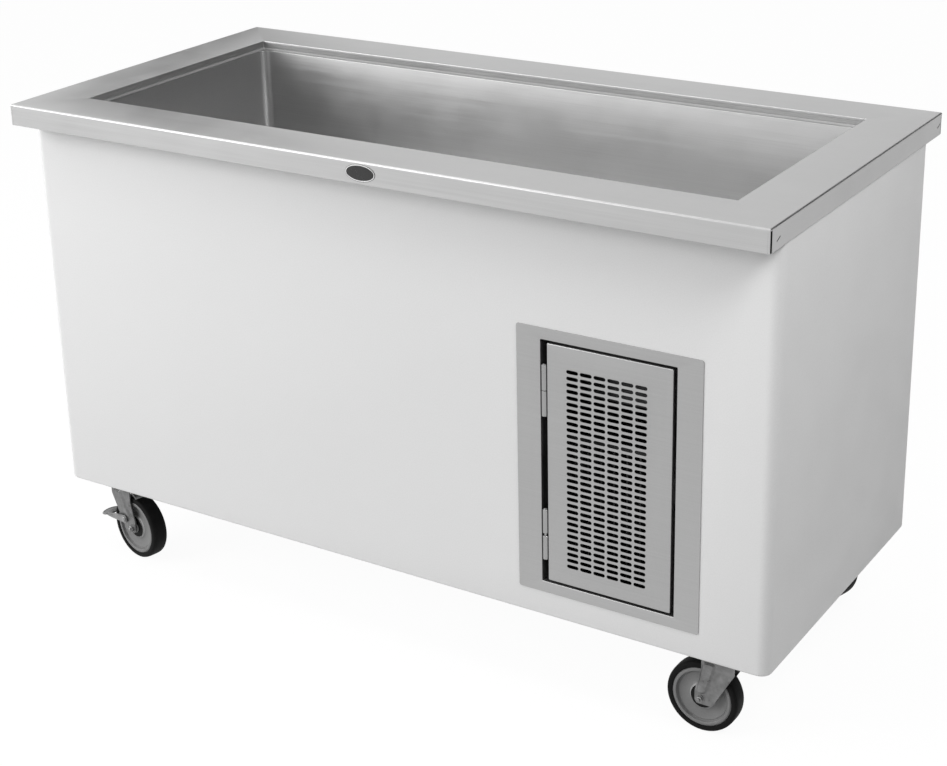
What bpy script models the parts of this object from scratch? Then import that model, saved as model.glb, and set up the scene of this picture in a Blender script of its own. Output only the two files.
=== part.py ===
"""Mobile refrigerated open-well serving counter.

A stainless top with a deep chilled well stands on a one-piece moulded body with a condensing unit
inside it, behind a slotted door, and rolls on four swivel casters.

Units are metres.  +X is along the long front, the front faces -Y, +Z is up.  The origin lies on the
floor under the centre of the counter top.
"""
import bpy
import bmesh
from math import cos, sin, tan, pi, radians
from mathutils import Matrix, Vector

# ---------------------------------------------------------------- driving dimensions
GAP = 0.0003                 # running gap kept between touching solids

TOP_LENGTH = 1.4732          # counter top, 58 in
TOP_DEPTH = 0.7112           # 28 in
TOP_HEIGHT = 0.9144          # 36 in above the floor
SHEET = 0.0020               # 14 gauge stainless
SKIRT = 0.0381               # turned-down edge, 1.5 in
BEND = 0.0032                # outer bend radius of the skirts
CORNER_SLIT = (0.0010, 0.0060)      # open corner: the long skirt's end, the end skirt's start
OPENING_MARGIN_X = 0.0970    # counter edge to well opening, at the ends
OPENING_MARGIN_Y = 0.1000    # and at front and back
OPENING_FLANGE = 0.0125      # turned-down edge round the opening
INTERLOCK_SLOT = (0.0140, 0.0020)   # slanted slot near each end of the end skirts
INTERLOCK_INSETS = (0.0282, 0.0148) # slot centre from the leading and the trailing corner
INTERLOCK_DROPS = (0.0225, 0.0208)  # slot centre under the top
INTERLOCK_SLANT = 23

BODY_END_INSET = 0.0025      # counter edge to body, at the ends
BODY_OVERHANG = 0.0508       # and at front and back
BODY_WALL = 0.0040
BODY_RADIUS = 0.0200         # vertical corners
BODY_TOP_LIP = 0.0100        # inward lips, measured from the outer face
BODY_FOOT_LIP = 0.0290
DECK_SHEET = 0.0020
DECK_RIM = 0.0250
RAIL_WIDTH = 0.1040

WELL_DEPTH = 0.2286          # counter surface to well floor, 9 in
PAN_SHEET = 0.0015
PAN_SETBACK = 0.0020         # well wall behind the opening's flange
PAN_RADIUS = 0.0180
BREAKER_HEIGHT = 0.0060
RIM_WIDTH = 0.0200           # pan rim and breaker frame
COIL_TUBE = 0.0095           # evaporator tube diameter
COIL_TURNS = 5
COIL_ROOM = 0.0112           # space between pan wall and insulation
INSULATION = 0.0220
INSULATION_FLOOR = 0.0270
CASE_SHEET = 0.0010
CHANNEL = (0.0300, 0.0250)    # width and height
CHANNEL_END = 0.0448         # body's top lip to the channel's ends

DRAIN_END = 0.1396           # opening's left end to the drain
DRAIN_CUP = 0.0280           # outer radius of the drain cup
DRAIN_CUP_DEPTH = 0.0150
DRAIN_TAIL = 0.0165          # outer radius of the tailpiece and pipe
DRAIN_BORE = 0.0135
DRAIN_WALL = 0.0040
VALVE_DROP = 0.0493          # body's underside to the valve's stem
OUTLET_DROP = 0.0280         # stem to outlet
VALVE_RADIUS = 0.0220
LEVER_LENGTH = 0.0750

BEZEL_END = 0.1191           # body's right end to the access frame
BEZEL_WIDTH = 0.3290
BEZEL_FOOT = 0.0450          # body bottom to frame bottom
BEZEL_CLEARANCE = 0.0022     # frame's return below the insulation case
BEZEL_SHEET = 0.0012
BEZEL_SIDE = 0.0440          # side borders
BEZEL_RAIL = 0.0200          # top and bottom borders
BEZEL_RADIUS = 0.0040
BEZEL_RETURN = 0.0300        # depth of the flange round the opening
DOOR_HINGE_GAP = 0.0120
DOOR_FREE_GAP = 0.0050
DOOR_END_GAP = 0.0045
DOOR_DEPTH = 0.0120
SLOT = (0.0210, 0.0055)
SLOT_PITCH = (0.0244, 0.0111)
SLOTS_FROM_LEFT = 0.0915     # frame edge to the first column
SLOTS_FROM_RIGHT = 0.0940    # least from the last column to the frame's edge
SLOTS_FROM_TOP = 0.0660      # to the middle of the first row
SLOTS_FROM_BOTTOM = 0.0590   # least from the middle of the last row
KNUCKLE = 0.0050             # hinge knuckle radius
HINGE_PIN = 0.0025
HINGE_AXIS_BACK = 0.0030     # hinge axis behind the door face
HINGE_LEAF = (0.0013, 0.0085)
UPPER_HINGE = (0.0440, 0.0010, 0.0440)      # upper knuckle, gap, lower knuckle
LOWER_HINGE = (0.0430, 0.0050, 0.0430)
HINGE_FROM_TOP, HINGE_FROM_BOTTOM = 0.0630, 0.0610   # frame edges to the two hinges

UNIT_WIDTH, UNIT_HEIGHT = 0.3900, 0.0250
UNIT_WALL_GAP = 0.0658       # unit's base to the body's front and back walls
UNIT_OFFSET = 0.0045         # unit's middle to the right of the doorway's
CONDENSER = (0.2600, 0.0440, 0.2700)
CONDENSER_SETBACK = 0.0943   # door face to the condenser's middle
FIN_PITCH, FIN_THICKNESS, FIN_WEB = 0.0120, 0.0030, 0.0120
SHROUD_DEPTH, SHROUD_SHEET = 0.0300, 0.0015
FAN_RADIUS, FAN_CLEARANCE = 0.0970, 0.0050
FAN_HUB, FAN_HUB_LENGTH, FAN_SHAFT = 0.0220, 0.0260, 0.0040
FAN_PITCH = radians(24)
FAN_SETBACK = 0.0060         # fan plane behind the shroud's back face
MOTOR_RADIUS, MOTOR_LENGTH = 0.0420, 0.0640
COMPRESSOR_RADIUS, COMPRESSOR_HEIGHT = 0.0780, 0.1900
COMPRESSOR_OFFSET = (-0.0150, -0.00055)     # from the unit's middle, and from mid-way
# between the fan motor and the body's back wall
DRIER_RADIUS, DRIER_LENGTH = 0.0190, 0.1100
DRIER_ASIDE = 0.02185        # outside the evaporator's right end
LIQUID_TUBE, SUCTION_TUBE, CAPILLARY_TUBE = 0.0064, 0.0095, 0.0064
CONTROL_BOX = (0.1600, 0.0700, 0.1200)
CONTROL_SETBACK = 0.1113     # door face to the control box's middle
KNOB_RADIUS, KNOB_LENGTH = 0.0175, 0.0170
ROCKER = (0.0130, 0.0100, 0.0210)
GLAND_END, GLAND_RISE = 0.1741, 0.0827      # from the body's right end and underside
GLAND_RADIUS, CORD_BORE = 0.0100, 0.0045
BADGE = (0.0580, 0.0290, 0.0008)
BADGE_X = 0.0300

WHEEL_RADIUS = 0.0635        # 5 in wheel
WHEEL_WIDTH = 0.0320
CASTER_RISE = 0.0300         # top of wheel to top of plate
TREAD = 0.0110
TYRE_EASE = 0.3 / 52.5       # tyre's seat over the rim, as a share of the rim's radius
WEB_WIDTH, HUB_WIDTH = 0.0180, 0.0340
HUB_RADIUS, HUB_RECESS = 0.0110, 0.0185
AXLE_RADIUS = 0.0048
FORK_WALL, FORK_INSIDE = 0.0030, 0.0180
FORK_DROP = 0.0135           # top of plate to top of fork
PLATE = (0.0950, 0.0670, 0.0030)
RACE_RADIUS = 0.0290
KINGPIN_RADIUS = 0.0060
TRAIL = 0.0300               # kingpin to wheel axle
CASTER_INSET = (0.1000, 0.0550)     # body edge to kingpin
HEADINGS = {                 # direction from kingpin to wheel, seen from above
    "front_left": radians(-12), "front_right": radians(180),
    "rear_left": radians(20), "rear_right": radians(165)}
PEDAL = (0.0220, 0.0420, 0.0030)    # pad length, width, thickness
PEDAL_PIVOT = (0.0200, 0.0150)      # from the axle towards the pad, and up
PEDAL_AHEAD = 0.0065         # tyre to the near edge of the pad

# ---------------------------------------------------------------- derived levels and faces
HALF_L, HALF_D = TOP_LENGTH / 2, TOP_DEPTH / 2
TOP_UNDER = TOP_HEIGHT - SHEET
OPEN_X, OPEN_Y = HALF_L - OPENING_MARGIN_X, HALF_D - OPENING_MARGIN_Y
BODY_X, BODY_Y = HALF_L - BODY_END_INSET, HALF_D - BODY_OVERHANG
CASTER_HEIGHT = 2 * WHEEL_RADIUS + CASTER_RISE
FORK_TOP_Z = CASTER_HEIGHT - FORK_DROP
RIM_RADIUS = WHEEL_RADIUS - TREAD
BODY_FOOT, BODY_TOP = CASTER_HEIGHT + GAP, TOP_UNDER - GAP
BODY_IN_X, BODY_IN_Y = BODY_X - BODY_WALL, BODY_Y - BODY_WALL
DECK_Z = BODY_FOOT + BODY_WALL + GAP            # underside of the deck
DECK_TOP = DECK_Z + DECK_SHEET
BREAKER_TOP = TOP_HEIGHT - OPENING_FLANGE - GAP
PAN_TOP = BREAKER_TOP - BREAKER_HEIGHT - GAP
PAN_FLOOR = TOP_HEIGHT - WELL_DEPTH
PAN_UNDER = PAN_FLOOR - PAN_SHEET
PAN_X, PAN_Y = OPEN_X + PAN_SETBACK, OPEN_Y + PAN_SETBACK
PAN_OUT_X, PAN_OUT_Y = PAN_X + PAN_SHEET, PAN_Y + PAN_SHEET
INSULATION_TOP = PAN_TOP - PAN_SHEET - GAP
INSULATION_FOOT = PAN_UNDER - GAP - INSULATION_FLOOR
CASE_UNDER = INSULATION_FOOT - GAP - CASE_SHEET
CASE_X = PAN_OUT_X + COIL_ROOM + INSULATION + GAP + CASE_SHEET
CASE_Y = PAN_OUT_Y + COIL_ROOM + INSULATION + GAP + CASE_SHEET
BEZEL_RIGHT = BODY_X - BEZEL_END
BEZEL_LEFT = BEZEL_RIGHT - BEZEL_WIDTH
BEZEL_BOTTOM = BODY_FOOT + BEZEL_FOOT
BEZEL_TOP = CASE_UNDER - BEZEL_CLEARANCE - BEZEL_SHEET + BEZEL_RAIL
BEZEL_HEIGHT = BEZEL_TOP - BEZEL_BOTTOM
BEZEL_BACK = -BODY_Y - GAP
FACE_Y = BEZEL_BACK - BEZEL_SHEET               # front face of frame and door
DOORWAY_LEFT, DOORWAY_RIGHT = BEZEL_LEFT + BEZEL_SIDE, BEZEL_RIGHT - BEZEL_SIDE
DOORWAY_BOTTOM, DOORWAY_TOP = BEZEL_BOTTOM + BEZEL_RAIL, BEZEL_TOP - BEZEL_RAIL
DOOR_LEFT, DOOR_RIGHT = DOORWAY_LEFT + DOOR_HINGE_GAP, DOORWAY_RIGHT - DOOR_FREE_GAP
DOOR_BOTTOM, DOOR_TOP = DOORWAY_BOTTOM + DOOR_END_GAP, DOORWAY_TOP - DOOR_END_GAP
SLOT_COLUMNS = 1 + int((BEZEL_WIDTH - SLOTS_FROM_LEFT - SLOTS_FROM_RIGHT - SLOT[0])
                       / SLOT_PITCH[0])
SLOT_ROWS = 1 + int((BEZEL_HEIGHT - SLOTS_FROM_TOP - SLOTS_FROM_BOTTOM) / SLOT_PITCH[1])
HINGE_X, HINGE_Y = (DOORWAY_LEFT + DOOR_LEFT) / 2, FACE_Y + HINGE_AXIS_BACK
DRAIN_X = -OPEN_X + DRAIN_END
VALVE_AXIS_Z = BODY_FOOT - VALVE_DROP
DRAIN_OUTLET_Z = VALVE_AXIS_Z - OUTLET_DROP
GLAND_X, GLAND_Z = BODY_X - GLAND_END, BODY_FOOT + GLAND_RISE
UNIT_X, UNIT_Y = (DOORWAY_LEFT + DOORWAY_RIGHT) / 2 + UNIT_OFFSET, 0.0
UNIT_DEPTH = 2 * (BODY_IN_Y - UNIT_WALL_GAP)
UNIT_BASE = (UNIT_WIDTH, UNIT_DEPTH, UNIT_HEIGHT)
UNIT_Z = DECK_TOP + GAP
UNIT_TOP = UNIT_Z + UNIT_HEIGHT
CONDENSER_Y = FACE_Y + CONDENSER_SETBACK
CONTROL_Y = FACE_Y + CONTROL_SETBACK
CONDENSER_Z = UNIT_TOP + GAP + CONDENSER[2] / 2
SHROUD_Y = CONDENSER_Y + CONDENSER[1] / 2 + GAP
FAN_Y = SHROUD_Y + SHROUD_DEPTH + FAN_SETBACK
MOTOR_FACE = FAN_Y + FAN_HUB_LENGTH / 2 + 0.0040
MOTOR_BACK = MOTOR_FACE + 0.0030 + MOTOR_LENGTH
COMPRESSOR_X = UNIT_X + COMPRESSOR_OFFSET[0]
COMPRESSOR_Y = (MOTOR_BACK + BODY_IN_Y) / 2 + COMPRESSOR_OFFSET[1]
CONTROL_Z = CASE_UNDER - GAP - CONTROL_BOX[2] / 2
CONTROL_FACE = CONTROL_Y - CONTROL_BOX[1] / 2
COIL_X = PAN_OUT_X + GAP + COIL_TUBE / 2        # centre line of the evaporator coil
COIL_Y = PAN_OUT_Y + GAP + COIL_TUBE / 2
COIL_LOW, COIL_HIGH = PAN_FLOOR + 0.0300, PAN_TOP - 0.0350
LINE_SPACE_X = (CASE_X + BODY_IN_X) / 2         # between the case and the body's right end
STUB_OUT = 0.0060                               # coil ends outside the case

MODEL = "refrigerated_serving_counter"


# ---------------------------------------------------------------- modelling helpers
def clear_scene():
    for obj in list(bpy.data.objects):
        bpy.data.objects.remove(obj, do_unlink=True)


def collection(name):
    made = bpy.data.collections.new(name)
    bpy.context.scene.collection.children.link(made)
    return made


clear_scene()
PARTS = collection(MODEL)
CUTTERS = collection(MODEL + "_cutters")


def material(name, colour, roughness, metallic):
    made = bpy.data.materials.new(name)
    made.use_nodes = True
    shader = made.node_tree.nodes["Principled BSDF"]
    shader.inputs["Base Color"].default_value = (*colour, 1)
    shader.inputs["Roughness"].default_value = roughness
    shader.inputs["Metallic"].default_value = metallic
    return made


def add_object(name, data, location=(0, 0, 0), rotation=(0, 0, 0)):
    obj = bpy.data.objects.new(name, data)
    obj.location, obj.rotation_euler = location, rotation
    PARTS.objects.link(obj)
    return obj


def mesh_object(name, bm, location=(0, 0, 0), rotation=(0, 0, 0)):
    mesh = bpy.data.meshes.new(name)
    bm.to_mesh(mesh)
    bm.free()
    return add_object(name, mesh, location, rotation)


def block(name, size, centre, radius=0.0, axis=2, segments=4):
    """A box; the four edges along an axis are rounded when a radius is given."""
    bm = bmesh.new()
    bmesh.ops.create_cube(bm, size=1)
    bmesh.ops.scale(bm, vec=size, verts=bm.verts)
    if radius:
        along = [e for e in bm.edges
                 if abs((e.verts[0].co - e.verts[1].co)[axis]) > size[axis] / 2]
        bmesh.ops.bevel(bm, geom=along, offset=radius, segments=segments, profile=0.5,
                        affect="EDGES", clamp_overlap=True)
    return mesh_object(name, bm, centre)


def span(name, low, high, radius=0.0, axis=2, segments=4):
    """A box between two opposite corners."""
    size = [b - a for a, b in zip(low, high)]
    centre = [(a + b) / 2 for a, b in zip(low, high)]
    return block(name, size, centre, radius, axis, segments)


def cylinder(name, radius, length, centre, axis="Z", segments=24):
    bm = bmesh.new()
    bmesh.ops.create_cone(bm, cap_ends=True, segments=segments, radius1=radius, radius2=radius,
                          depth=length)
    turn = {"X": (0, pi / 2, 0), "Y": (pi / 2, 0, 0), "Z": (0, 0, 0)}[axis]
    return mesh_object(name, bm, centre, turn)


def turned(name, profile, location, steps=24, closed=False, rotation=(0, 0, 0)):
    """A profile of (radius, height) turned about local Z, outer side listed from the top down."""
    mesh = bpy.data.meshes.new(name)
    edges = [(i, i + 1) for i in range(len(profile) - 1)]
    if closed:
        edges.append((len(profile) - 1, 0))
    mesh.from_pydata([(r, 0, z) for r, z in profile], edges, [])
    obj = add_object(name, mesh, location, rotation)
    screw = obj.modifiers.new("Screw", "SCREW")
    screw.steps = screw.render_steps = steps
    screw.use_merge_vertices, screw.merge_threshold = True, 0.00001
    screw.use_smooth_shade = False
    return obj


def curve_mesh(obj):
    """Turn a curve object into a welded mesh object."""
    bpy.context.view_layer.update()
    evaluated = obj.evaluated_get(bpy.context.evaluated_depsgraph_get())
    mesh = bpy.data.meshes.new_from_object(evaluated)
    bm = bmesh.new()
    bm.from_mesh(mesh)
    bmesh.ops.remove_doubles(bm, verts=bm.verts, dist=0.000001)
    bm.to_mesh(mesh)
    bm.free()
    name, place = obj.name, obj.matrix_world.copy()
    bpy.data.objects.remove(obj)
    made = add_object(name, mesh)
    made.name, made.matrix_world = name, place
    return made


def outline_plate(name, points, thickness, location=(0, 0, 0), rotation=(0, 0, 0)):
    """A flat plate from a closed outline in its own XY plane."""
    curve = bpy.data.curves.new(name, "CURVE")
    curve.dimensions, curve.fill_mode, curve.extrude = "2D", "BOTH", thickness / 2
    spline = curve.splines.new("POLY")
    spline.points.add(len(points) - 1)
    for point, (x, y) in zip(spline.points, points):
        point.co = (x, y, 0, 1)
    spline.use_cyclic_u = True
    return curve_mesh(add_object(name, curve, location, rotation))


def tube(name, points, diameter, location=(0, 0, 0)):
    curve = bpy.data.curves.new(name, "CURVE")
    curve.dimensions, curve.bevel_depth = "3D", diameter / 2
    curve.bevel_resolution, curve.use_fill_caps = 2, True
    spline = curve.splines.new("POLY")
    spline.points.add(len(points) - 1)
    for point, co in zip(spline.points, points):
        point.co = (*co, 1)
    return add_object(name, curve, location)


def filleted(corners, radius, steps=4):
    """Points of a route through corners, with each inner corner rounded."""
    route = [Vector(c) for c in corners]
    points = [route[0]]
    for before, at, after in zip(route, route[1:], route[2:]):
        a, b = (before - at).normalized(), (after - at).normalized()
        bend = a.angle(b)
        cut = radius / tan(bend / 2)
        start, middle = at + a * cut, at + (a + b).normalized() * radius / sin(bend / 2)
        first, last = start - middle, at + b * cut - middle
        sweep = first.angle(last)
        for i in range(steps + 1):
            share = i / steps
            points.append(middle + (first * sin((1 - share) * sweep)
                                    + last * sin(share * sweep)) / sin(sweep))
    points.append(route[-1])
    return points


def boolean(target, operation, *operands):
    for operand in operands:
        PARTS.objects.unlink(operand)
        CUTTERS.objects.link(operand)
        operand.hide_render, operand.display_type = True, "WIRE"
        step = target.modifiers.new(operand.name, "BOOLEAN")
        step.operation, step.solver, step.object = operation, "EXACT", operand
    return target


def cut(target, *operands):
    return boolean(target, "DIFFERENCE", *operands)


def join(target, *operands):
    return boolean(target, "UNION", *operands)


def settled(obj):
    """Replace the modifiers of an object by their result and drop its cutters."""
    bpy.context.view_layer.update()
    evaluated = obj.evaluated_get(bpy.context.evaluated_depsgraph_get())
    mesh = bpy.data.meshes.new_from_object(evaluated)
    used = [m.object for m in obj.modifiers if m.type == "BOOLEAN"]
    obj.modifiers.clear()
    obj.data = mesh
    for operand in used:
        bpy.data.objects.remove(operand)
    return obj


def origin_to(obj, point):
    """Move the origin of an unrotated mesh object without moving its shape."""
    obj.data.transform(Matrix.Translation(obj.location - Vector(point)))
    obj.location = point
    return obj


def ellipse(width, height, count):
    return [(width / 2 * cos(2 * pi * i / count), height / 2 * sin(2 * pi * i / count))
            for i in range(count)]


# ---------------------------------------------------------------- counter top and well
def counter_top():
    top = span("counter_top", (-HALF_L, -HALF_D, TOP_HEIGHT - SKIRT),
               (HALF_L, HALF_D, TOP_HEIGHT))
    bend = top.modifiers.new("Bend", "BEVEL")
    bend.width, bend.segments, bend.limit_method = BEND, 3, "WEIGHT"
    weights = top.data.attributes.new("bevel_weight_edge", "FLOAT", "EDGE")
    for edge in top.data.edges:
        ends = [top.data.vertices[i].co.z for i in edge.vertices]
        weights.data[edge.index].value = 1.0 if min(ends) > 0 else 0.0
    below = SKIRT
    cut(top, span("top_hollow", (-HALF_L + SHEET, -HALF_D + SHEET, TOP_HEIGHT - SKIRT - below),
                  (HALF_L - SHEET, HALF_D - SHEET, TOP_UNDER)))
    join(top, span("opening_flange",
                   (-OPEN_X - SHEET, -OPEN_Y - SHEET, TOP_HEIGHT - OPENING_FLANGE),
                   (OPEN_X + SHEET, OPEN_Y + SHEET, TOP_HEIGHT - SHEET / 2)))
    cut(top, span("opening", (-OPEN_X, -OPEN_Y, TOP_HEIGHT - SKIRT),
                  (OPEN_X, OPEN_Y, TOP_HEIGHT + SKIRT)))
    (end, start), inner, beyond = CORNER_SLIT, 1.1 * SHEET, 2 * SHEET
    for sx in (-1, 1):
        for sy in (-1, 1):
            trailing = sx * sy > 0
            seam = [(sx * (HALF_L - x), sy * (HALF_D - y)) for x, y in
                    ((end, -end), (end, inner), (beyond, inner), (beyond, start),
                     (-end, start), (-end, -end))]
            cut(top, outline_plate("corner_seam", seam, SKIRT,
                                   (0, 0, TOP_HEIGHT - BEND - SKIRT / 2)))
            slot = block("interlock_slot", (4 * SHEET, *INTERLOCK_SLOT),
                         (sx * HALF_L, sy * (HALF_D - INTERLOCK_INSETS[trailing]),
                          TOP_HEIGHT - INTERLOCK_DROPS[trailing]))
            slot.rotation_euler.x = radians(INTERLOCK_SLANT) * sx
            cut(top, slot)
    return top


def end_channel(side):
    """Hat channel under the top between the well's case and the body's end."""
    width, height = CHANNEL
    length = 2 * (BODY_Y - BODY_TOP_LIP - CHANNEL_END)
    x, z = side * LINE_SPACE_X, TOP_UNDER - GAP - height / 2
    name = "end_channel_right" if side > 0 else "end_channel_left"
    channel = block(name, (width, length, height), (x, 0, z))
    return cut(channel, block("channel_hollow", (width - 2 * SHEET, length + SHEET, height),
                              (x, 0, z + SHEET)))


def frame_block(name, inner, outer, low, high, radius=0.0):
    """A rectangular ring between two half sizes."""
    ring = span(name, (-outer[0], -outer[1], low), (outer[0], outer[1], high), radius)
    hole = span(name + "_hole", (-inner[0], -inner[1], low - 0.01),
                (inner[0], inner[1], high + 0.01), radius)
    return cut(ring, hole)


def breaker_frame():
    return frame_block("breaker_frame", (PAN_X, PAN_Y), (PAN_X + RIM_WIDTH, PAN_Y + RIM_WIDTH),
                       BREAKER_TOP - BREAKER_HEIGHT, BREAKER_TOP)


def cold_pan():
    pan = span("cold_pan", (-PAN_OUT_X, -PAN_OUT_Y, PAN_UNDER), (PAN_OUT_X, PAN_OUT_Y, PAN_TOP),
               PAN_RADIUS + PAN_SHEET)
    rim = span("pan_rim", (-PAN_X - RIM_WIDTH, -PAN_Y - RIM_WIDTH, PAN_TOP - PAN_SHEET),
               (PAN_X + RIM_WIDTH, PAN_Y + RIM_WIDTH, PAN_TOP), PAN_RADIUS + RIM_WIDTH)
    join(pan, rim)
    cut(pan, span("pan_hollow", (-PAN_X, -PAN_Y, PAN_FLOOR), (PAN_X, PAN_Y, PAN_TOP + 0.01),
                  PAN_RADIUS),
        cylinder("pan_drain_hole", DRAIN_CUP + GAP, 0.02, (DRAIN_X, 0, PAN_FLOOR)))
    return pan


def coil_centre_line():
    """Turns round the pan, entering high through the right end and leaving low downwards."""
    bend = PAN_RADIUS - GAP
    drop = (COIL_HIGH - COIL_LOW) / COIL_TURNS
    quarter, z = drop / 4, COIL_HIGH
    corners = [(CASE_X + STUB_OUT, COIL_Y / 2, z), (COIL_X, COIL_Y / 2, z)]
    for turn in range(COIL_TURNS):
        for i, (sx, sy) in enumerate(((1, 1), (-1, 1), (-1, -1), (1, -1))):
            corners.append((sx * COIL_X, sy * COIL_Y, z - quarter * (i + 0.5)))
        z -= drop
    corners.append((COIL_X, -COIL_Y / 4, z))
    corners.append((COIL_X, -COIL_Y / 4, CASE_UNDER - STUB_OUT))
    first = filleted(corners[:3], COIL_TUBE * 0.4, 2)[:-1]
    around = filleted(corners[1:-2] + [corners[-2]], bend, 3)[1:-1]
    last = filleted(corners[-3:], 2 * COIL_TUBE, 4)[1:]
    return first + around + last


def evaporator_coil():
    return tube("evaporator_coil", coil_centre_line(), COIL_TUBE)


def coil_holes(tag):
    """Clearance holes for the two ends of the coil."""
    bore = COIL_TUBE / 2 + 2 * GAP
    return (cylinder(tag + "_inlet_hole", bore, 0.08, (CASE_X, COIL_Y / 2, COIL_HIGH), "X", 12),
            cylinder(tag + "_outlet_hole", bore, 0.08, (COIL_X, -COIL_Y / 4, INSULATION_FOOT),
                     "Z", 12))


def pan_insulation():
    outer = (CASE_X - CASE_SHEET - GAP, CASE_Y - CASE_SHEET - GAP)
    inner = (PAN_OUT_X + COIL_ROOM, PAN_OUT_Y + COIL_ROOM)
    foam = span("pan_insulation", (-outer[0], -outer[1], INSULATION_FOOT),
                (outer[0], outer[1], INSULATION_TOP))
    cut(foam, span("foam_hollow", (-inner[0], -inner[1], PAN_UNDER - GAP),
                   (inner[0], inner[1], INSULATION_TOP + 0.01)),
        cylinder("foam_drain_hole", DRAIN_CUP + 2 * GAP, 0.08, (DRAIN_X, 0, INSULATION_FOOT)),
        *coil_holes("foam"))
    return foam


def insulation_case():
    case = span("insulation_case", (-CASE_X, -CASE_Y, CASE_UNDER), (CASE_X, CASE_Y, BODY_TOP))
    cut(case, span("case_hollow", (-CASE_X + CASE_SHEET, -CASE_Y + CASE_SHEET,
                                   CASE_UNDER + CASE_SHEET),
                   (CASE_X - CASE_SHEET, CASE_Y - CASE_SHEET, BODY_TOP + 0.01)),
        cylinder("case_drain_hole", DRAIN_TAIL + GAP, 0.04, (DRAIN_X, 0, CASE_UNDER)),
        *coil_holes("case"))
    return case


# ---------------------------------------------------------------- drain
def drain_fitting():
    """Flanged cup through the well floor, with a tailpiece."""
    flange, cup_in = DRAIN_CUP + 0.006, DRAIN_CUP - 0.0025
    cup_low, tail_low = -DRAIN_CUP_DEPTH, CASE_UNDER - 0.022 - PAN_FLOOR
    rim_low, rim_high = GAP, GAP + 0.0020
    profile = [(cup_in, rim_high), (flange, rim_high), (flange, rim_low), (DRAIN_CUP, rim_low),
               (DRAIN_CUP, cup_low), (DRAIN_TAIL, cup_low), (DRAIN_TAIL, tail_low),
               (DRAIN_BORE, tail_low), (DRAIN_BORE, cup_low + 0.003), (cup_in, cup_low + 0.003)]
    return turned("drain_fitting", profile, (DRAIN_X, 0, PAN_FLOOR), 16, closed=True)


def drain_strainer():
    """Lift-out basket in the cup, with a finger knob."""
    rim, wall = DRAIN_CUP - 0.0025 - 2 * GAP, 0.0015
    high, low = GAP + 0.0020, -DRAIN_CUP_DEPTH + 0.003 + GAP
    profile = [(0, high + 0.006), (0.005, high + 0.006), (0.005, low + wall),
               (rim - wall, low + wall), (rim - wall, high), (rim, high), (rim, low), (0, low)]
    return turned("drain_strainer", profile, (DRAIN_X, 0, PAN_FLOOR), 16)


def drain_pipe():
    """Coupling on the tailpiece and a straight pipe down through the deck."""
    high, step = CASE_UNDER - GAP, CASE_UNDER - 0.030
    low, socket = VALVE_AXIS_Z + 0.034, DRAIN_TAIL + GAP
    profile = [(socket, high), (socket + DRAIN_WALL, high), (socket + DRAIN_WALL, step - 0.006),
               (DRAIN_TAIL, step - 0.006), (DRAIN_TAIL, low), (DRAIN_BORE, low),
               (DRAIN_BORE, step), (socket, step)]
    return turned("drain_pipe", profile, (DRAIN_X, 0, 0), 16, closed=True)


def drain_valve():
    """Quarter-turn valve on the pipe's lower end, under the deck."""
    high, low = VALVE_AXIS_Z + 0.046, DRAIN_OUTLET_Z
    socket, seat = DRAIN_TAIL + GAP, VALVE_AXIS_Z + 0.034 - GAP
    profile = [(socket, high), (VALVE_RADIUS, high), (VALVE_RADIUS, low + 0.012),
               (DRAIN_TAIL, low + 0.008), (DRAIN_TAIL, low), (DRAIN_BORE, low),
               (DRAIN_BORE, seat), (socket, seat)]
    valve = turned("drain_valve", profile, (DRAIN_X, 0, 0), 16, closed=True)
    boss_in, boss_out = DRAIN_BORE + DRAIN_WALL, VALVE_RADIUS + 0.008
    return join(valve, cylinder("valve_boss", 0.0080, boss_out - boss_in,
                                (DRAIN_X, (boss_in + boss_out) / 2, VALVE_AXIS_Z), "Y", 16))


def drain_lever():
    """Flat lever on the valve's stem; level when the valve is shut."""
    y, thick, half = VALVE_RADIUS + 0.008 + GAP, 0.0030, 0.0070
    outline = [(half * cos(a), half * sin(a))
               for a in (radians(90 + 22.5 * i) for i in range(9))]
    outline += [(LEVER_LENGTH - half * 1.3, -half * 1.3), (LEVER_LENGTH, -half * 0.5),
                (LEVER_LENGTH, half * 0.5), (LEVER_LENGTH - half * 1.3, half * 1.3)]
    return outline_plate("drain_lever", outline, thick,
                         (DRAIN_X, y + thick / 2, VALVE_AXIS_Z), (pi / 2, 0, 0))


# ---------------------------------------------------------------- body
def body_shell():
    body = span("body_shell", (-BODY_X, -BODY_Y, BODY_FOOT), (BODY_X, BODY_Y, BODY_TOP),
                BODY_RADIUS, segments=6)
    top_x, top_y = BODY_X - BODY_TOP_LIP, BODY_Y - BODY_TOP_LIP
    foot_x, foot_y = BODY_X - BODY_FOOT_LIP, BODY_Y - BODY_FOOT_LIP
    cut(body,
        span("body_hollow", (-BODY_IN_X, -BODY_IN_Y, BODY_FOOT + BODY_WALL),
             (BODY_IN_X, BODY_IN_Y, BODY_TOP - BODY_WALL), BODY_RADIUS - BODY_WALL, segments=6),
        span("body_mouth", (-top_x, -top_y, BODY_TOP - 0.02), (top_x, top_y, BODY_TOP + 0.02),
             BODY_RADIUS - BODY_TOP_LIP, segments=6),
        span("body_floor_hole", (-foot_x, -foot_y, BODY_FOOT - 0.02),
             (foot_x, foot_y, BODY_FOOT + 0.02)),
        span("access_hole",
             (DOORWAY_LEFT - BEZEL_SHEET - GAP, -BODY_Y - 0.02, DOORWAY_BOTTOM - BEZEL_SHEET - GAP),
             (DOORWAY_RIGHT + BEZEL_SHEET + GAP, -BODY_Y + 0.02, DOORWAY_TOP + BEZEL_SHEET + GAP)),
        cylinder("gland_hole", GLAND_RADIUS + GAP, 0.04, (GLAND_X, BODY_Y, GLAND_Z), "Y", 20))
    return body


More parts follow.
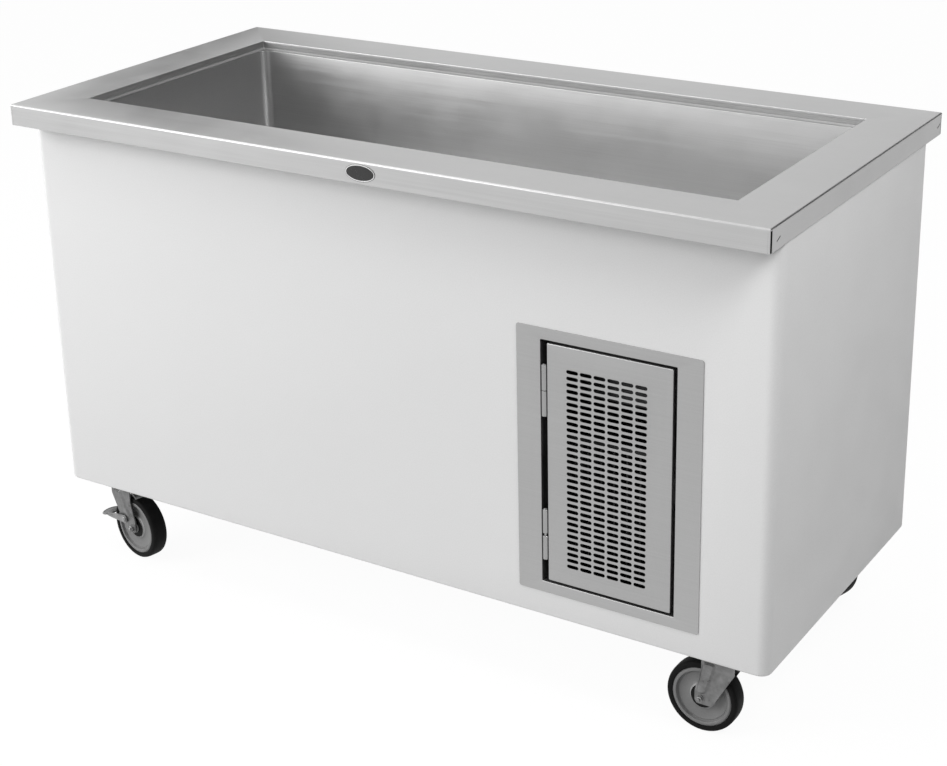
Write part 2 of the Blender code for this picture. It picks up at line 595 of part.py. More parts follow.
def base_deck():
    """Floor tray on the body's inner lip, with two rails that carry the caster plates."""
    x, y = BODY_IN_X - 2 * GAP, BODY_IN_Y - 2 * GAP
    radius = BODY_RADIUS - BODY_WALL
    deck = span("base_deck", (-x, -y, DECK_Z), (x, y, DECK_Z + DECK_RIM), radius, segments=4)
    cut(deck, span("deck_hollow", (-x + DECK_SHEET, -y + DECK_SHEET, DECK_TOP),
                   (x - DECK_SHEET, y - DECK_SHEET, DECK_Z + 2 * DECK_RIM), radius - DECK_SHEET,
                   segments=4))
    lip_x, lip_y = BODY_X - BODY_FOOT_LIP - GAP, BODY_Y - BODY_FOOT_LIP - GAP
    for side in (-1, 1):
        near, far = sorted((side * lip_y, side * (lip_y - RAIL_WIDTH)))
        join(deck, span("deck_rail", (-lip_x, near, BODY_FOOT),
                        (lip_x, far, DECK_Z + DECK_SHEET / 2)))
    return cut(deck, cylinder("deck_drain_hole", DRAIN_TAIL + 2 * GAP, 0.04,
                              (DRAIN_X, 0, DECK_Z), "Z", 24))


def badge_plate():
    width, height, thick = BADGE
    return outline_plate("badge_plate", ellipse(width, height, 32), thick,
                         (BADGE_X, -HALF_D - 0.0002 - thick / 2, TOP_HEIGHT - SKIRT * 0.5),
                         (pi / 2, 0, 0))


def cord_gland():
    """Hollow gland through the back wall, nut inside."""
    head, nut = GLAND_RADIUS + 0.004, GLAND_RADIUS + 0.005
    out, back = GAP + 0.010, -BODY_WALL - GAP
    profile = [(CORD_BORE, out), (head, out), (head, GAP), (GLAND_RADIUS, GAP),
               (GLAND_RADIUS, back), (nut, back), (nut, back - 0.006), (CORD_BORE, back - 0.006)]
    return turned("cord_gland", profile, (GLAND_X, BODY_Y, GLAND_Z), 16, closed=True,
                  rotation=(-pi / 2, 0, 0))


# ---------------------------------------------------------------- access frame and door
def grille_frame():
    middle = ((BEZEL_LEFT + BEZEL_RIGHT) / 2, (FACE_Y + BEZEL_BACK) / 2,
              (BEZEL_BOTTOM + BEZEL_TOP) / 2)
    frame = block("grille_frame", (BEZEL_WIDTH, BEZEL_SHEET, BEZEL_HEIGHT), middle, BEZEL_RADIUS,
                  axis=1, segments=3)
    join(frame, span("frame_return",
                     (DOORWAY_LEFT - BEZEL_SHEET, BEZEL_BACK - BEZEL_SHEET / 2,
                      DOORWAY_BOTTOM - BEZEL_SHEET),
                     (DOORWAY_RIGHT + BEZEL_SHEET, FACE_Y + BEZEL_RETURN,
                      DOORWAY_TOP + BEZEL_SHEET)))
    return cut(frame, span("doorway", (DOORWAY_LEFT, FACE_Y - 0.01, DOORWAY_BOTTOM),
                           (DOORWAY_RIGHT, FACE_Y + 2 * BEZEL_RETURN, DOORWAY_TOP)))


def slot_cutters():
    """The pattern of slots, as one arrayed cutter."""
    first = (BEZEL_LEFT + SLOTS_FROM_LEFT + SLOT[0] / 2, FACE_Y, BEZEL_TOP - SLOTS_FROM_TOP)
    slot = block("door_slots", (SLOT[0], 0.02, SLOT[1]), first)
    for name, count, offset in (("Columns", SLOT_COLUMNS, (SLOT_PITCH[0], 0, 0)),
                                ("Rows", SLOT_ROWS, (0, 0, -SLOT_PITCH[1]))):
        array = slot.modifiers.new(name, "ARRAY")
        array.use_relative_offset, array.use_constant_offset = False, True
        array.count, array.constant_offset_displace = count, offset
    return slot


def grille_door():
    door = span("grille_door", (DOOR_LEFT, FACE_Y, DOOR_BOTTOM),
                (DOOR_RIGHT, FACE_Y + DOOR_DEPTH, DOOR_TOP))
    origin_to(door, (HINGE_X, HINGE_Y, DOOR_BOTTOM))
    return cut(door, span("door_hollow",
                          (DOOR_LEFT + BEZEL_SHEET, FACE_Y + BEZEL_SHEET, DOOR_BOTTOM + BEZEL_SHEET),
                          (DOOR_RIGHT - BEZEL_SHEET, FACE_Y + 2 * DOOR_DEPTH, DOOR_TOP - BEZEL_SHEET)),
               slot_cutters())


def hinge(name, high, upper, gap, lower):
    """Lift-off hinge: the frame's half has the pin, the door's half drops over it."""
    seat_high, seat_low = high - upper - gap, high - upper - gap - lower
    thick, depth = HINGE_LEAF
    frame_half = turned(f"hinge_{name}_frame_leaf",
                        [(0, upper * 0.8 + gap), (HINGE_PIN, upper * 0.8 + gap), (HINGE_PIN, 0),
                         (KNUCKLE, 0), (KNUCKLE, -lower), (0, -lower)],
                        (HINGE_X, HINGE_Y, seat_high), 16)
    left = DOORWAY_LEFT + GAP
    join(frame_half, span("frame_leaf", (left, HINGE_Y, seat_low),
                          (left + thick, HINGE_Y + depth, seat_high)))
    bore = HINGE_PIN + GAP
    door_half = turned(f"hinge_{name}_door_leaf",
                       [(0, 0), (KNUCKLE, 0), (KNUCKLE, -upper), (bore, -upper),
                        (bore, -upper * 0.1), (0, -upper * 0.1)],
                       (HINGE_X, HINGE_Y, high), 16)
    right = DOOR_LEFT - GAP
    join(door_half, span("door_leaf", (right - thick, HINGE_Y, high - upper),
                         (right, HINGE_Y + depth, high)))
    return [frame_half, door_half]


def door_catch():
    """Magnet block on the frame's right return, behind the door's edge."""
    back = FACE_Y + DOOR_DEPTH + GAP
    middle = (DOORWAY_BOTTOM + DOORWAY_TOP) / 2
    return span("door_catch", (DOORWAY_RIGHT - 0.0150, back, middle - 0.022),
                (DOORWAY_RIGHT - GAP, back + 0.0140, middle + 0.022))


# ---------------------------------------------------------------- condensing unit
def unit_base():
    width, depth, height = UNIT_BASE
    base = block("unit_base", UNIT_BASE, (UNIT_X, UNIT_Y, UNIT_Z + height / 2))
    return cut(base, block("unit_hollow", (width - 2 * SHEET, depth - 2 * SHEET, height),
                           (UNIT_X, UNIT_Y, UNIT_Z + height / 2 - SHEET)))


def condenser_coil():
    """Finned block; the fins stand on both sides of a web of tubes."""
    width, depth, height = CONDENSER
    coil = block("condenser_coil", CONDENSER, (UNIT_X, CONDENSER_Y, CONDENSER_Z))
    groove = FIN_PITCH - FIN_THICKNESS
    count = int((width - FIN_THICKNESS) / FIN_PITCH)
    start = UNIT_X - (count - 1) * FIN_PITCH / 2
    for side in (-1, 1):
        deep = (depth - FIN_WEB) / 2
        cutter = block("fin_grooves", (groove, deep * 2, height - 0.02),
                       (start, CONDENSER_Y + side * depth / 2, CONDENSER_Z))
        array = cutter.modifiers.new("Fins", "ARRAY")
        array.use_relative_offset, array.use_constant_offset = False, True
        array.count, array.constant_offset_displace = count, (FIN_PITCH, 0, 0)
        cut(coil, cutter)
    return coil


def fan_shroud():
    width, _, height = CONDENSER
    shroud = span("fan_shroud", (UNIT_X - width / 2, SHROUD_Y, CONDENSER_Z - height / 2),
                  (UNIT_X + width / 2, SHROUD_Y + SHROUD_DEPTH, CONDENSER_Z + height / 2))
    wall = SHROUD_SHEET
    return cut(shroud,
               span("shroud_hollow",
                    (UNIT_X - width / 2 + wall, SHROUD_Y - 0.01, CONDENSER_Z - height / 2 + wall),
                    (UNIT_X + width / 2 - wall, SHROUD_Y + SHROUD_DEPTH - wall,
                     CONDENSER_Z + height / 2 - wall)),
               cylinder("shroud_hole", FAN_RADIUS + FAN_CLEARANCE, 0.05,
                        (UNIT_X, SHROUD_Y + SHROUD_DEPTH, CONDENSER_Z), "Y", 32))


def fan_motor():
    """Motor with its shaft, on a foot that stands on the unit's base."""
    front = MOTOR_FACE
    profile = [(0, 0), (FAN_SHAFT, 0), (FAN_SHAFT, -FAN_HUB_LENGTH), (0.012, -FAN_HUB_LENGTH),
               (0.012, -FAN_HUB_LENGTH - 0.003), (MOTOR_RADIUS, -FAN_HUB_LENGTH - 0.003),
               (MOTOR_RADIUS, -FAN_HUB_LENGTH - MOTOR_LENGTH),
               (0, -FAN_HUB_LENGTH - MOTOR_LENGTH)]
    motor = turned("fan_motor", profile, (UNIT_X, front - FAN_HUB_LENGTH, CONDENSER_Z), 20,
                   rotation=(pi / 2, 0, 0))
    length = MOTOR_LENGTH * 0.6
    return join(motor, span("motor_foot",
                            (UNIT_X - 0.02, front + 0.012, UNIT_TOP + GAP),
                            (UNIT_X + 0.02, front + 0.012 + length, CONDENSER_Z)))


def fan_blade():
    """Four pitched blades on a hub that slides over the motor's shaft."""
    bore, half = FAN_SHAFT + GAP, FAN_HUB_LENGTH / 2
    fan = turned("fan_blade", [(0, half), (FAN_HUB, half), (FAN_HUB, -half), (bore, -half),
                               (bore, half - 0.004), (0, half - 0.004)],
                 (UNIT_X, FAN_Y, CONDENSER_Z), 20, rotation=(pi / 2, 0, 0))
    inner, outer = FAN_HUB - 0.004, FAN_RADIUS
    outline = [(inner, -0.016), (outer * 0.72, -0.036)]
    outline += [(outer * cos(a), outer * sin(a)) for a in (radians(d) for d in (-20, -7, 7, 20))]
    outline += [(outer * 0.72, 0.036), (inner, 0.016)]
    for i in range(4):
        turn = Matrix.Rotation(i * pi / 2, 4, "Y")
        flat = Matrix.Rotation(pi / 2, 4, "X")
        pitch = Matrix.Rotation(FAN_PITCH, 4, "X")
        blade = outline_plate("blade", outline, 0.0016)
        blade.matrix_world = Matrix.Translation((UNIT_X, FAN_Y, CONDENSER_Z)) @ turn @ pitch @ flat
        join(fan, blade)
    return fan


def compressor():
    r, h = COMPRESSOR_RADIUS, COMPRESSOR_HEIGHT
    profile = [(0, h), (r * 0.62, h * 0.98), (r, h * 0.80), (r, h * 0.54), (r * 1.03, h * 0.53),
               (r * 1.03, h * 0.49), (r, h * 0.48), (r, h * 0.20), (r * 0.62, h * 0.04),
               (0, h * 0.03)]
    foot = UNIT_TOP + GAP
    can = turned("compressor", profile, (COMPRESSOR_X, COMPRESSOR_Y, foot + 0.006), 20)
    plate = block("compressor_foot", (2.2 * r, 1.5 * r, 0.004),
                  (COMPRESSOR_X, COMPRESSOR_Y, foot + 0.014), 0.012)
    pads = [cylinder("rubber_mount", 0.009, 0.014, (COMPRESSOR_X + sx * 0.97 * r,
                                                   COMPRESSOR_Y + sy * 0.60 * r, foot + 0.007),
                     "Z", 10) for sx in (-1, 1) for sy in (-1, 1)]
    return join(can, plate, *pads)


def terminal_cover():
    """Snap-on cover over the compressor's terminals, on its left side."""
    face = COMPRESSOR_X - COMPRESSOR_RADIUS * 1.03 - GAP
    z = UNIT_TOP + COMPRESSOR_HEIGHT * 0.66
    return span("terminal_cover", (face - 0.022, COMPRESSOR_Y - 0.026, z - 0.030),
                (face, COMPRESSOR_Y + 0.026, z + 0.020), 0.004, axis=0)


def filter_drier():
    r, half = DRIER_RADIUS, DRIER_LENGTH / 2
    end = CAPILLARY_TUBE / 2 + 0.001
    profile = [(0, half), (end, half), (end, half - 0.012), (r, half - 0.026), (r, -half + 0.026),
               (end, -half + 0.012), (end, -half), (0, -half)]
    return turned("filter_drier", profile, drier_place(), 16)


def drier_place():
    return (COIL_X + DRIER_ASIDE, CONDENSER_Y + 0.090, CONDENSER_Z + 0.060)


def liquid_line():
    """From the condenser's lower right side to the bottom of the drier."""
    x, y, z = drier_place()
    side = UNIT_X + CONDENSER[0] / 2 + GAP
    low = UNIT_TOP + 0.040
    route = [(side, CONDENSER_Y, low), (side + 0.030, CONDENSER_Y, low),
             (x, y, low), (x, y, z - DRIER_LENGTH / 2 - GAP)]
    return tube("liquid_line", filleted(route, 0.012), LIQUID_TUBE)


def expansion_line():
    """From the drier up to the evaporator's inlet, past the end of the case."""
    x, y, z = drier_place()
    inlet = COIL_Y / 2
    route = [(x, y, z + DRIER_LENGTH / 2 + GAP), (x, y, CASE_UNDER - 0.030),
             (LINE_SPACE_X, inlet, CASE_UNDER - 0.030), (LINE_SPACE_X, inlet, COIL_HIGH),
             (CASE_X + STUB_OUT + GAP, inlet, COIL_HIGH)]
    return tube("expansion_line", filleted(route, 0.012), CAPILLARY_TUBE)


def suction_line():
    """From the evaporator's outlet under the case to the compressor's side."""
    start = (COIL_X, -COIL_Y / 4, CASE_UNDER - STUB_OUT - GAP)
    z = UNIT_TOP + COMPRESSOR_HEIGHT * 0.70
    side = COMPRESSOR_X + COMPRESSOR_RADIUS + 3 * GAP
    drop = CASE_UNDER - 0.045
    route = [start, (COIL_X, -COIL_Y / 4, drop), (COIL_X, COMPRESSOR_Y, drop),
             (COIL_X, COMPRESSOR_Y, z), (side, COMPRESSOR_Y, z)]
    return tube("suction_line", filleted(route, 0.020), SUCTION_TUBE)


# ---------------------------------------------------------------- controls
def control_box():
    width, depth, height = CONTROL_BOX
    box = block("control_box", CONTROL_BOX, (UNIT_X, CONTROL_Y, CONTROL_Z))
    wall = 0.0012
    cut(box, block("control_hollow", (width - 2 * wall, depth, height - 2 * wall),
                   (UNIT_X, CONTROL_Y + wall, CONTROL_Z)),
        block("rocker_window", (ROCKER[0] + 4 * GAP, 0.02, ROCKER[2] + 4 * GAP),
              (*rocker_place()[:1], CONTROL_FACE, rocker_place()[2])))
    return box


def rocker_place():
    return (UNIT_X + CONTROL_BOX[0] / 4, CONTROL_FACE + 0.0020, CONTROL_Z)


def thermostat_knob():
    length, r = KNOB_LENGTH, KNOB_RADIUS
    place = (UNIT_X - CONTROL_BOX[0] / 4, CONTROL_FACE - GAP, CONTROL_Z)
    knob = turned("thermostat_knob", [(0, length), (r * 0.80, length), (r * 0.88, 0.005),
                                      (r, 0.004), (r, 0), (0, 0)],
                  place, 20, rotation=(pi / 2, 0, 0))
    ridge = block("knob_pointer", (0.0040, length * 0.6, r),
                  (place[0], place[1] - length * 0.8, place[2] + r * 0.36))
    return join(knob, ridge)


def power_switch():
    rocker = block("power_switch", ROCKER, (0, 0, 0))
    for vertex in rocker.data.vertices:
        if vertex.co.y < 0 and vertex.co.z > 0:
            vertex.co.y += 0.0030
    rocker.location = rocker_place()
    return rocker


# ---------------------------------------------------------------- casters
def caster_plate_mesh():
    """Top plate with its race and the kingpin that holds the fork."""
    length, width, thick = PLATE
    race_low = FORK_TOP_Z + 2 * GAP
    plate = block("caster_plate", PLATE, (0, 0, CASTER_HEIGHT - thick / 2), 0.008)
    head = FORK_TOP_Z - FORK_WALL - 2 * GAP
    high = CASTER_HEIGHT - thick / 2
    pin = turned("kingpin", [(0, high), (RACE_RADIUS * 0.9, high),
                             (RACE_RADIUS, race_low + 0.003), (RACE_RADIUS * 0.86, race_low),
                             (KINGPIN_RADIUS, race_low), (KINGPIN_RADIUS, head),
                             (0.0105, head), (0.0105, head - 0.005), (0, head - 0.005)],
                 (0, 0, 0), 16)
    return settled(join(plate, pin))


def fork_mesh():
    """Pressed fork: a crown under the race and two tapering legs to the axle."""
    back, front, eye = -RACE_RADIUS, RACE_RADIUS, -TRAIL
    axle, top = WHEEL_RADIUS, FORK_TOP_Z
    outline = [(back, top), (front, top), (front, top - 0.0215), (eye + 0.022, axle - 0.0075),
               (eye + 0.018, axle - 0.0105), (eye - 0.008, axle - 0.0105),
               (eye - 0.0125, axle - 0.0035), (eye - 0.0115, axle + 0.0145), (back, top - 0.0255)]
    outer = FORK_INSIDE + FORK_WALL
    fork = outline_plate("caster_fork", outline, 2 * outer, rotation=(pi / 2, 0, 0))
    cut(fork, span("fork_slot", (-0.1, -FORK_INSIDE, 0.0), (0.1, FORK_INSIDE, FORK_TOP_Z - FORK_WALL)),
        cylinder("kingpin_hole", KINGPIN_RADIUS + GAP, 0.03, (0, 0, FORK_TOP_Z), "Z", 16),
        cylinder("axle_hole", AXLE_RADIUS + GAP, 0.08, (eye, 0, WHEEL_RADIUS), "Y", 16))
    return settled(fork)


def wheel_core_mesh():
    """Disc wheel turned about its axle: rim, thin web and hub."""
    rim, web, hub = WHEEL_WIDTH / 2 - 0.001, WEB_WIDTH / 2, HUB_WIDTH / 2
    bore, lip = AXLE_RADIUS + GAP, RIM_RADIUS - 0.0045
    half = [(bore, hub), (HUB_RADIUS, hub), (HUB_RADIUS, web - 0.004), (HUB_RECESS, web),
            (lip - 0.002, web), (lip, rim), (RIM_RADIUS, rim)]
    profile = half + [(r, -a) for r, a in reversed(half)]
    return settled(turned("wheel_core", profile, (0, 0, 0), 20, closed=True))


def tyre_mesh():
    """Ring round the rim with a slightly crowned tread."""
    r, w, seat = WHEEL_RADIUS, WHEEL_WIDTH / 2, RIM_RADIUS * (1 + TYRE_EASE)
    half = [(seat, w), (r - 0.0040, w), (r, w * 0.6)]
    profile = half + [(rr, -a) for rr, a in reversed(half)]
    return settled(turned("tyre", profile, (0, 0, 0), 32, closed=True))


def axle_mesh():
    """Bolt and nut that clamp the fork's legs."""
    side = FORK_INSIDE + FORK_WALL + GAP
    half = [(0, side + 0.0060), (0.0080, side + 0.0060), (0.0080, side), (AXLE_RADIUS, side)]
    profile = half + [(r, -a) for r, a in reversed(half)]
    return settled(turned("axle_bolt", profile, (0, 0, 0), 12))


def brake_pedal(name, holder):
    """Foot lever on the outer side of the fork; its pad lies ahead of the tyre."""
    side = FORK_INSIDE + FORK_WALL + 2 * GAP
    ahead, up = PEDAL_PIVOT
    length, width, thick = PEDAL
    pivot = (-TRAIL + ahead, side, WHEEL_RADIUS + up)
    near = -TRAIL + WHEEL_RADIUS + PEDAL_AHEAD
    arm = [(pivot[0] - 0.007, -0.006), (pivot[0] + 0.007, -0.008), (near + 0.004, -0.006),
           (near + 0.004, 0.000), (pivot[0] + 0.008, 0.006), (pivot[0] - 0.005, 0.007)]
    lever = outline_plate(name, [(x - pivot[0], z) for x, z in arm], 0.0030, pivot)
    lever.data.transform(Matrix.Translation((0, 0.0015, 0)) @ Matrix.Rotation(pi / 2, 4, "X"))
    pad = outline_plate("pedal_pad", ellipse(length, width, 20), thick,
                        (near + length / 2, side - width / 2 + 0.010, pivot[2] - 0.003))
    bridge = span("pedal_bridge", (near - 0.001, side - 0.010, pivot[2] - 0.0055),
                  (near + 0.008, side + 0.003, pivot[2] - 0.0015))
    join(lever, bridge, pad)
    settled(lever)
    lever.parent = holder
    return lever


def copy_of(name, mesh, holder, location=(0, 0, 0), rotation=(0, 0, 0)):
    obj = add_object(name, mesh, location, rotation)
    obj.parent = holder
    return obj


def caster_meshes():
    """The meshes that the four casters share."""
    meshes = {}
    for key, build in (("plate", caster_plate_mesh), ("fork", fork_mesh),
                       ("core", wheel_core_mesh), ("tyre", tyre_mesh), ("axle", axle_mesh)):
        obj = build()
        obj.data.transform(Matrix.LocRotScale(obj.location, obj.rotation_euler, None))
        meshes[key] = obj.data
        bpy.data.objects.remove(obj)
    return meshes


def caster(corner, meshes):
    sx = -1 if corner.endswith("left") else 1
    sy = -1 if corner.startswith("front") else 1
    place = (sx * (BODY_X - CASTER_INSET[0]), sy * (BODY_Y - CASTER_INSET[1]), 0)
    mount = bpy.data.objects.new(corner + "_caster", None)
    swivel = bpy.data.objects.new(corner + "_swivel", None)
    for empty in (mount, swivel):
        PARTS.objects.link(empty)
        empty.location = place
    swivel.rotation_euler.z = HEADINGS[corner] + pi
    flat, hub = (pi / 2, 0, 0), (-TRAIL, 0, WHEEL_RADIUS)
    plate = copy_of(corner + "_caster_plate", meshes["plate"], mount)
    fork = copy_of(corner + "_fork", meshes["fork"], swivel)
    core = copy_of(corner + "_wheel_core", meshes["core"], swivel, hub, flat)
    tyre = copy_of(corner + "_tyre", meshes["tyre"], swivel, hub, flat)
    axle = copy_of(corner + "_axle_bolt", meshes["axle"], swivel, hub, flat)
    made = [plate, fork, core, tyre, axle]
    if sx < 0:
        made.append(brake_pedal(corner + "_brake_pedal", swivel))
    return made


# ---------------------------------------------------------------- build
STEEL = material("stainless_steel", (0.62, 0.62, 0.62), 0.38, 1.0)
ZINC = material("zinc_plated_steel", (0.55, 0.55, 0.56), 0.35, 1.0)
GALVANISED = material("galvanised_steel", (0.50, 0.51, 0.52), 0.5, 1.0)
WHITE = material("white_moulding", (0.80, 0.80, 0.79), 0.45, 0.0)
GREY = material("grey_plastic", (0.22, 0.22, 0.22), 0.5, 0.0)
RUBBER = material("black_rubber", (0.015, 0.015, 0.015), 0.6, 0.0)
BLACK = material("black_plastic", (0.02, 0.02, 0.02), 0.45, 0.0)
FOAM = material("urethane_foam", (0.72, 0.66, 0.50), 0.9, 0.0)
COPPER = material("copper", (0.72, 0.36, 0.22), 0.3, 1.0)
BRASS = material("brass", (0.70, 0.55, 0.25), 0.35, 1.0)
ENAMEL = material("black_enamel", (0.02, 0.02, 0.02), 0.3, 0.0)
ALUMINIUM = material("aluminium", (0.70, 0.71, 0.72), 0.4, 1.0)


def paint(pieces, finish):
    for piece in pieces:
        piece.data.materials.clear()
        piece.data.materials.append(finish)


def build():
    paint([counter_top(), cold_pan(), drain_fitting(), drain_strainer(), grille_frame(),
           grille_door()], STEEL)
    hinges = []
    for name, high, sizes in (
            ("upper", BEZEL_TOP - HINGE_FROM_TOP, UPPER_HINGE),
            ("lower", BEZEL_BOTTOM + HINGE_FROM_BOTTOM + sum(LOWER_HINGE), LOWER_HINGE)):
        hinges += hinge(name, high, *sizes)
    paint(hinges, STEEL)
    paint([end_channel(-1), end_channel(1), insulation_case(), base_deck(), unit_base(),
           control_box()], GALVANISED)
    paint([breaker_frame(), cord_gland(), terminal_cover(), thermostat_knob(), power_switch(),
           door_catch(), badge_plate()], BLACK)
    paint([body_shell()], WHITE)
    paint([pan_insulation()], FOAM)
    paint([evaporator_coil(), suction_line(), liquid_line(), expansion_line(), filter_drier()],
          COPPER)
    paint([drain_pipe()], GALVANISED)
    paint([drain_valve()], BRASS)
    paint([drain_lever()], ZINC)
    paint([compressor(), fan_shroud(), fan_motor()], ENAMEL)
    paint([condenser_coil(), fan_blade()], ALUMINIUM)
    meshes = caster_meshes()
    for key, finish in (("plate", ZINC), ("fork", ZINC), ("core", GREY), ("tyre", RUBBER),
                        ("axle", ZINC)):
        meshes[key].materials.clear()
        meshes[key].materials.append(finish)
    for corner in HEADINGS:
        for piece in caster(corner, meshes):
            if piece.name.endswith("brake_pedal"):
                paint([piece], ZINC)


build()
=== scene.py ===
"""Looks of the mobile refrigerated serving counter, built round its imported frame.

Metres; +X right along the long front, the front faces -Y, +Z up, the floor at z = 0.
"""

from math import cos, sin, tan, pi, radians, sqrt, atan2

import bpy
import bmesh
from mathutils import Matrix, Vector


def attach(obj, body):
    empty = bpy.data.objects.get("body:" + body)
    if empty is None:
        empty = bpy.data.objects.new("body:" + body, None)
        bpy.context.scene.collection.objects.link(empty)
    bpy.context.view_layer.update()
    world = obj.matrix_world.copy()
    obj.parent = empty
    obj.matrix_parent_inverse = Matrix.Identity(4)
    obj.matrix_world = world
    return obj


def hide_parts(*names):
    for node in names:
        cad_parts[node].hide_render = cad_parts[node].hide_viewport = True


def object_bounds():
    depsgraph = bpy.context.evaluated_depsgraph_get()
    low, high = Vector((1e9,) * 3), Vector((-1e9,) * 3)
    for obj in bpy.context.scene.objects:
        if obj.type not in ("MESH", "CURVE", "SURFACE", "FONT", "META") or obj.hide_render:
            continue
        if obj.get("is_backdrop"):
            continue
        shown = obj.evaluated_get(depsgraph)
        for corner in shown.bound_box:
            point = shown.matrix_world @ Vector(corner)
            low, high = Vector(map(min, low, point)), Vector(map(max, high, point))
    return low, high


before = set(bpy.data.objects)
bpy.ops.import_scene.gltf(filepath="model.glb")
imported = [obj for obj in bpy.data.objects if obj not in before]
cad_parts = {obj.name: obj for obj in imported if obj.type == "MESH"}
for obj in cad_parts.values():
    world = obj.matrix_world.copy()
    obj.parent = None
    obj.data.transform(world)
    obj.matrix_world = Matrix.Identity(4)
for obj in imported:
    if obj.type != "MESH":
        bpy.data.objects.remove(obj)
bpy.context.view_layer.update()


# ---------------------------------------------------------------- mesh helpers
def shaded(mesh, angle=32):
    """Smooth faces, with edges sharper than the angle left sharp."""
    mesh.shade_smooth()
    mesh.set_sharp_from_angle(angle=radians(angle))
    return mesh


def new_mesh(name, bm, angle=32):
    """The mesh of a bmesh, which is used up."""
    bmesh.ops.recalc_face_normals(bm, faces=bm.faces)
    mesh = bpy.data.meshes.new(name)
    bm.to_mesh(mesh)
    bm.free()
    return shaded(mesh, angle)


def add(name, data, matrix=None):
    """An object in the scene for a mesh, light or camera."""
    obj = bpy.data.objects.new(name, data)
    bpy.context.scene.collection.objects.link(obj)
    if matrix is not None:
        obj.matrix_world = matrix
    return obj


def piece(name, mesh, material, body, replaces, matrix=None):
    """A finished piece that rides on a body and may stand for a CAD node."""
    obj = add(name, mesh, matrix)
    if material is not None:
        mesh.materials.clear()
        mesh.materials.append(material)
    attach(obj, body)
    if replaces:
        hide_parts(replaces)


def quarter(steps):
    """Angles from 0 to 90 degrees, in radians."""
    return [radians(90 * i / steps) for i in range(steps + 1)]


def oval(centre, a, b, count):
    """Points of an ellipse, anticlockwise."""
    return [(centre[0] + a * cos(2 * pi * i / count), centre[1] + b * sin(2 * pi * i / count))
            for i in range(count)]


def rounded(half_a, half_b, radius, steps):
    """Points of a rounded rectangle, anticlockwise, the same count whatever the radius."""
    radius = max(min(radius, half_a, half_b), 0.00002)
    points = []
    for i, (sa, sb) in enumerate(((1, 1), (-1, 1), (-1, -1), (1, -1))):
        for j in range(steps + 1):
            a = pi / 2 * (i + j / steps)
            points.append((sa * (half_a - radius) + radius * cos(a),
                           sb * (half_b - radius) + radius * sin(a)))
    return points


def loft(bm, rings, closed=False, cap_first=False, cap_last=False):
    """Quads between rings of equal counts; closed joins the last ring to the first."""
    made = [[bm.verts.new(p) for p in ring] for ring in rings]
    pairs = list(zip(made, made[1:])) + ([(made[-1], made[0])] if closed else [])
    for one, two in pairs:
        count = len(one)
        for i in range(count):
            after = (i + 1) % count
            bm.faces.new((one[i], one[after], two[after], two[i]))
    if cap_first:
        bm.faces.new(made[0])
    if cap_last:
        bm.faces.new(made[-1])
    return made


def arc(centre, radius, start, end, steps):
    """Points (a, b) of an arc, angles in degrees."""
    angles = [radians(start + (end - start) * i / steps) for i in range(steps + 1)]
    return [(centre[0] + radius * cos(a), centre[1] + radius * sin(a)) for a in angles]


def turned(bm, profile, steps=48, closed=True, axis="Z", centre=(0, 0, 0)):
    """A profile of (radius, height) turned about an axis; closed joins its ends."""
    spin = {"Z": Matrix.Identity(3), "Y": Matrix.Rotation(-pi / 2, 3, "X"),
            "X": Matrix.Rotation(pi / 2, 3, "Y")}[axis]
    rings = [[spin @ Vector((a, b, h)) + Vector(centre) for a, b in oval((0, 0), r, r, steps)]
             for r, h in profile]
    loft(bm, rings, closed=closed, cap_first=not closed, cap_last=not closed)


def ease_edges(bm, edges, width, segments):
    """Bevels edges, each given once."""
    bmesh.ops.bevel(bm, geom=list(dict.fromkeys(edges)), offset=width, segments=segments,
                    profile=0.5, affect="EDGES", clamp_overlap=True)


def box(bm, low, high, bevel=0.0, segments=3):
    """A box between two corners, its edges rounded by the bevel."""
    verts = bmesh.ops.create_cube(bm, size=1)["verts"]
    size = [b - a for a, b in zip(low, high)]
    bmesh.ops.scale(bm, vec=size, verts=verts)
    bmesh.ops.translate(bm, vec=[(a + b) / 2 for a, b in zip(low, high)], verts=verts)
    if bevel:
        ease_edges(bm, (e for v in verts for e in v.link_edges), bevel, segments)


def prism(bm, outline, low, high, axis="Y", bevel=0.0):
    """An outline of (a, b) points pushed out along an axis between two levels."""
    place = {"Y": lambda a, b, h: (a, h, b), "Z": lambda a, b, h: (a, b, h),
             "X": lambda a, b, h: (h, a, b)}[axis]
    rings = [[place(a, b, h) for a, b in outline] for h in (low, high)]
    made = loft(bm, rings, cap_first=True, cap_last=True)
    if bevel:
        ease_edges(bm, (e for ring in made for v in ring for e in v.link_edges
                        if e.other_vert(v) in ring), bevel, 2)


def carved(name, bm, cutters, operation="DIFFERENCE", angle=32):
    """A mesh cut by others with the exact solver."""
    body = add(name + "_solid", new_mesh(name, bm, angle))
    tools = []
    for i, cutter in enumerate(cutters):
        tool = add("%s_tool_%d" % (name, i), new_mesh(name + "_tool", cutter))
        step = body.modifiers.new("cut", "BOOLEAN")
        step.operation, step.solver, step.object = operation, "EXACT", tool
        tools.append(tool)
    bpy.context.view_layer.update()
    mesh = bpy.data.meshes.new_from_object(
        body.evaluated_get(bpy.context.evaluated_depsgraph_get()))
    for obj in [body, *tools]:
        bpy.data.objects.remove(obj)
    mesh.name = name
    return shaded(mesh, angle)


def solid(shape, *sizes, **settings):
    """A bmesh of one box, prism or turned shape."""
    bm = bmesh.new()
    shape(bm, *sizes, **settings)
    return bm


# ---------------------------------------------------------------- materials
def grey(level):
    return (level, level, level)


